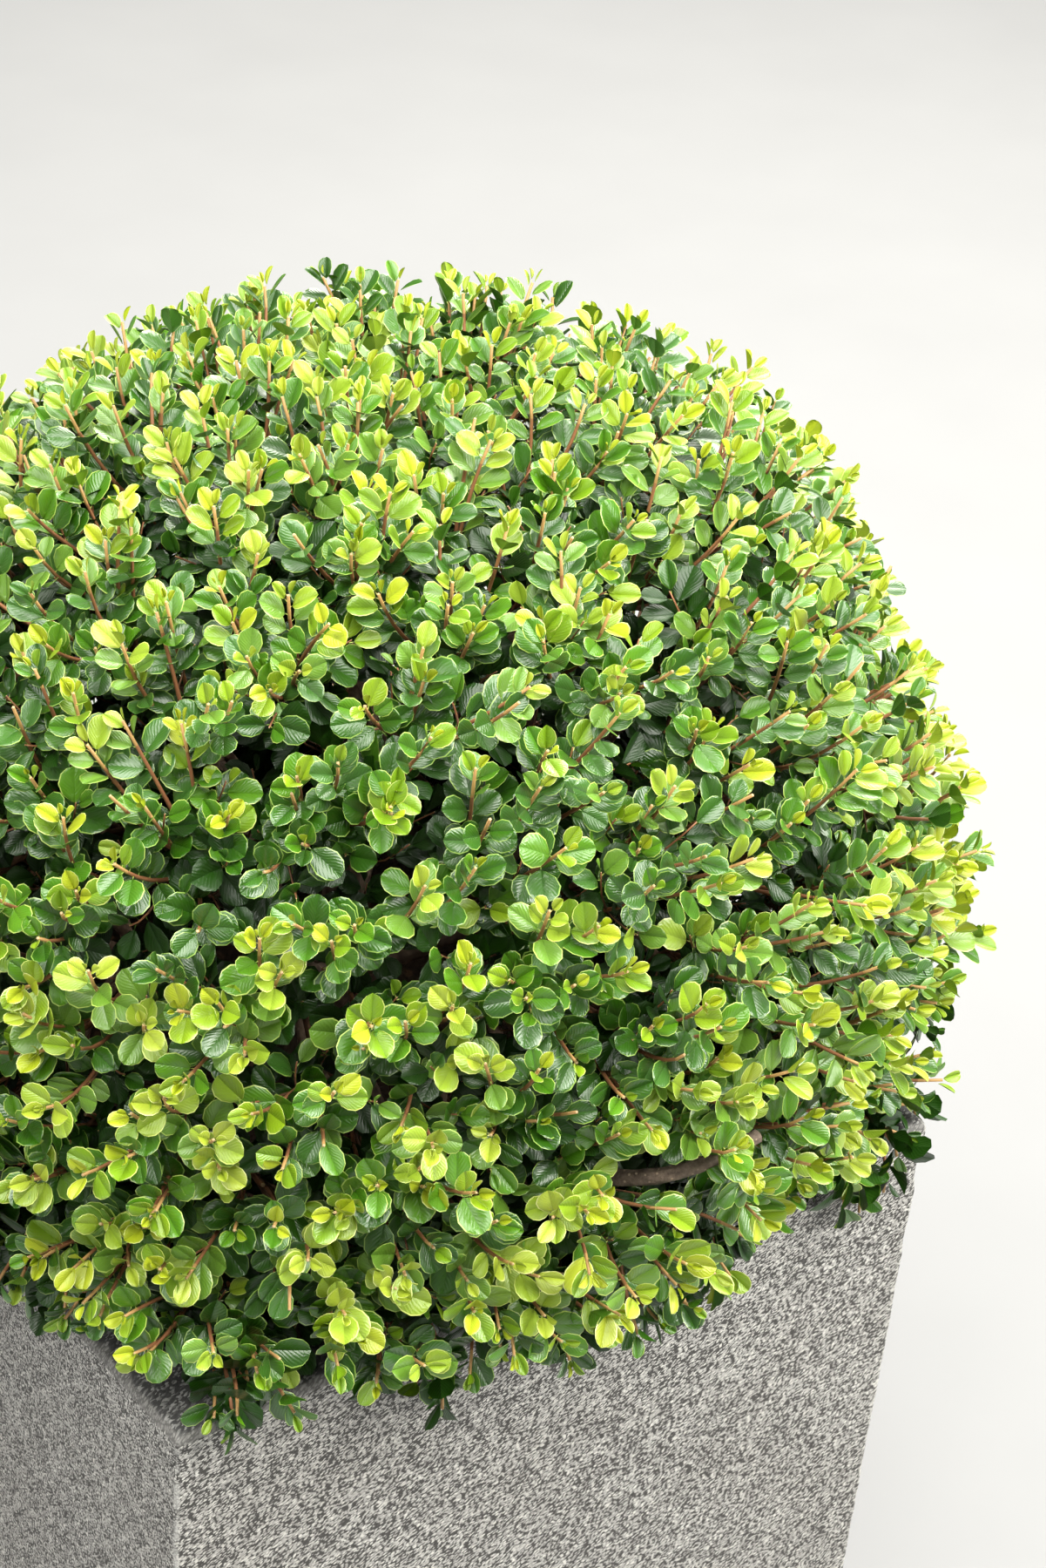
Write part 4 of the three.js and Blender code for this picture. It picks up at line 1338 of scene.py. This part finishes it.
# Leaves of the shoots, the spurs and the inner spurs
leaf_dice = dice(40)
shoot_lift = turn_and_lift(shoots[:, 2] - HEART)[1]
shoot_ways = unit(shoots[:, 2] - HEART)
sun_share = rise(shoot_ways @ SUNNY, SUN_FROM, SUN_FULL)
vigour = leaf_dice.uniform(*VIGOUR, len(shoots)) * mixed(*VIGOUR_BY_SUN, sun_share)
# More or fewer young leaves by place: partly painted shade in the middle of the front, painted light
# on the right flank
vigour = vigour * (1 + bumps(shoot_ways, YOUNG_LEAVES_AND_PAINTED_LIGHT))
vigour = vigour * mixed(1, LOW_VIGOUR, rise(shoot_lift, *LOW_LIFTS))
dull = leaf_dice.random(len(shoots)) < mixed(*DULL_BY_SUN, sun_share)
stubs = leaf_dice.random(len(shoots)) < STUB_SHARE
drooping = (shoot_lift < DROOPING_LIFT) & (np.arange(len(shoots)) % 4 > 0)
shoot_leaves = leaves_on(
    shoots,
    SHOOT_RANKS,
    leaf_dice,
    np.where(dull | stubs, DULL_VIGOUR * vigour, vigour),
    drooping.astype(int),
    bare=np.where(stubs, leaf_dice.uniform(*STUB_BARE, len(shoots)), 0),
    scale=mixed(*LEAF_SCALE_BY_LIFT, rise(shoot_lift, *LEAF_SCALE_LIFTS)),
)
spur_vigour = leaf_dice.uniform(*SPUR_VIGOUR, len(spurs))
spur_older = leaf_dice.choice(SPUR_HUES, len(spurs))
spur_leaves = leaves_on(spurs, SPUR_RANKS, leaf_dice, spur_vigour, spur_older)
inner_vigour, inner_older = (np.full(len(inner_spurs), value) for value in (INNER_VIGOUR, SHADE))
inner_leaves = leaves_on(inner_spurs, SPUR_RANKS, leaf_dice, inner_vigour, inner_older)

fine_outline = leaf_outline(FINE_ALONG, FINE_HALF, FINE_ACROSS)
middle_outline = leaf_outline(MIDDLE_ALONG, MIDDLE_HALF, FINE_ACROSS)
plain_outline = leaf_outline(PLAIN_ALONG, PLAIN_HALF, PLAIN_ACROSS)
outlines = (fine_outline, fine_outline, middle_outline, middle_outline, plain_outline)
leaves = off_the_planter(joined([shoot_leaves, spur_leaves, inner_leaves]), plain_outline[0])
leaves = clear_of_old_limb(leaves, old_limb)

for number, (hue, outline) in enumerate(zip(HUES, outlines)):
    tints, margin = LEAF_TONES[hue]
    edge = leaf_finish(f"{hue}_margin", margin, LEAF_GLOSS[hue], 0.0)
    finishes = []
    for tint, tone in enumerate(tints):
        finishes += [leaf_finish(f"{hue}_blade_{tint + 1}", tone, LEAF_GLOSS[hue], 1.0), edge]
    chosen = picked(leaves, leaves["hue"] == number)
    count = len(chosen["hue"])
    triangles = 2 * len(outline[1]) + len(outline[2]) + 1
    batches = math.ceil(count * triangles / MOST_TRIANGLES)
    for batch in range(batches):
        part = picked(chosen, np.arange(count) % batches == batch)
        piece = leaf_piece(f"leaves_{hue}_{batch + 1}", part, outline)
        finished(piece, finishes, "foliage", *FOLIAGE_NODES)


# Floor, light and camera

FLOOR_HALF = 6000.0
# Place, aim, side, power and tone of each soft light
SOFT_LIGHTS = {
    "top_softbox": ((-0.45, -0.55, 3.1), (0, 0, 0.6), 2.4, 128, (1.0, 0.99, 0.93)),
    "back_softbox": ((1.9, 1.5, 2.4), (0, 0, 0.65), 1.5, 122, (1.0, 0.98, 0.9)),
    "front_softbox": ((1.75, -2.1, 2.3), (0, 0, 0.55), 1.9, 136, (1.0, 0.99, 0.93)),
    "left_fill": ((-2.5, 0.3, 1.8), (0, 0, 0.4), 1.4, 28, (1.0, 1.0, 0.96)),
}
# The sky's tone, least and full strength, brightest direction, and where it rises to that
SKY_TONE = (1.0, 1.0, 0.94, 1)
SKY_STRENGTHS = (0.2, 1.1)
SKY_TOWARD = (0.25, -0.1, 0.96)
SKY_NEARNESS = (0.3, 0.92)
# The camera that the rim's corners and edges in the photograph give: place, and yaw, pitch, roll
CAMERA_PLACE = (-0.92293, -1.33269, 1.73644)
CAMERA_TURNS = (38.017, 34.084, 4.717)
CAMERA_LENS = 90
CAMERA_SENSOR = 36
CAMERA_SEES = 50


def floor_piece():
    """A wide, matt studio floor."""
    f = Finish("studio_floor")
    tone = f.mixed(f.noise(6.0, 3.0, 0.5), (144, 144, 146), (150, 150, 152))
    corners = FLOOR_HALF * np.array([[-1, -1, 0], [1, -1, 0], [1, 1, 0], [-1, 1, 0]])
    floor = fresh_mesh("floor", corners, np.array([[0, 1, 2, 3]]), np.empty((0, 3), int))
    floor.data.materials.append(f.surface(Base_Color=tone, Roughness=0.9))


def placed(name, data, place, right, up, back):
    """A lamp or camera at a place, with its own right, up and back along these directions."""
    holder = bpy.data.objects.new(name, data)
    bpy.context.collection.objects.link(holder)
    turned = Matrix(np.stack([right, up, back], 1).tolist()).to_4x4()
    turned.translation = place
    holder.matrix_world = turned
    return holder


def area_light(name, place, aim, side, power, tone):
    """A square lamp at a place, aimed at a point."""
    lamp = bpy.data.lights.new(name, "AREA")
    lamp.shape = "SQUARE"
    lamp.size = side
    lamp.energy = power
    lamp.color = tone
    back = unit(np.array(place) - np.array(aim))
    placed(name, lamp, place, *across_frame(back), back)


def studio_sky():
    """A soft dome whose light rises smoothly to its full strength toward one direction."""
    world = bpy.data.worlds.new("studio")
    bpy.context.scene.world = world
    world.use_nodes = True
    sky = Nodes(world.node_tree)
    nearness = sky.along(sky.node("TexCoord", output="Generated"), unit(np.array(SKY_TOWARD)))
    keys = ("From Min", "From Max", "To Min", "To Max")
    values = {"Value": nearness, **dict(zip(keys, SKY_NEARNESS + SKY_STRENGTHS))}
    background = world.node_tree.nodes["Background"]
    sky.feed(background.inputs["Color"], SKY_TONE)
    strength = sky.node("MapRange", {"interpolation_type": "SMOOTHSTEP"}, values)
    sky.feed(background.inputs["Strength"], strength)


def photo_camera():
    """The photograph's camera, from its place and turns."""
    yaw, pitch, roll = np.radians(CAMERA_TURNS)
    level = math.cos(pitch)
    forward = np.array([math.sin(yaw) * level, math.cos(yaw) * level, -math.sin(pitch)])
    right = np.array([math.cos(yaw), -math.sin(yaw), 0.0])
    up = np.cross(right, forward)
    rolled_right = right * math.cos(roll) + up * math.sin(roll)
    rolled_up = -right * math.sin(roll) + up * math.cos(roll)
    lens = bpy.data.cameras.new("photo_view")
    lens.lens = CAMERA_LENS
    lens.sensor_width = CAMERA_SENSOR
    lens.clip_end = CAMERA_SEES
    camera = placed("photo_view", lens, CAMERA_PLACE, rolled_right, rolled_up, -forward)
    bpy.context.scene.camera = camera


floor_piece()
for name, light in SOFT_LIGHTS.items():
    area_light(name, *light)
studio_sky()
bpy.context.scene.view_settings.view_transform = "Standard"
photo_camera()
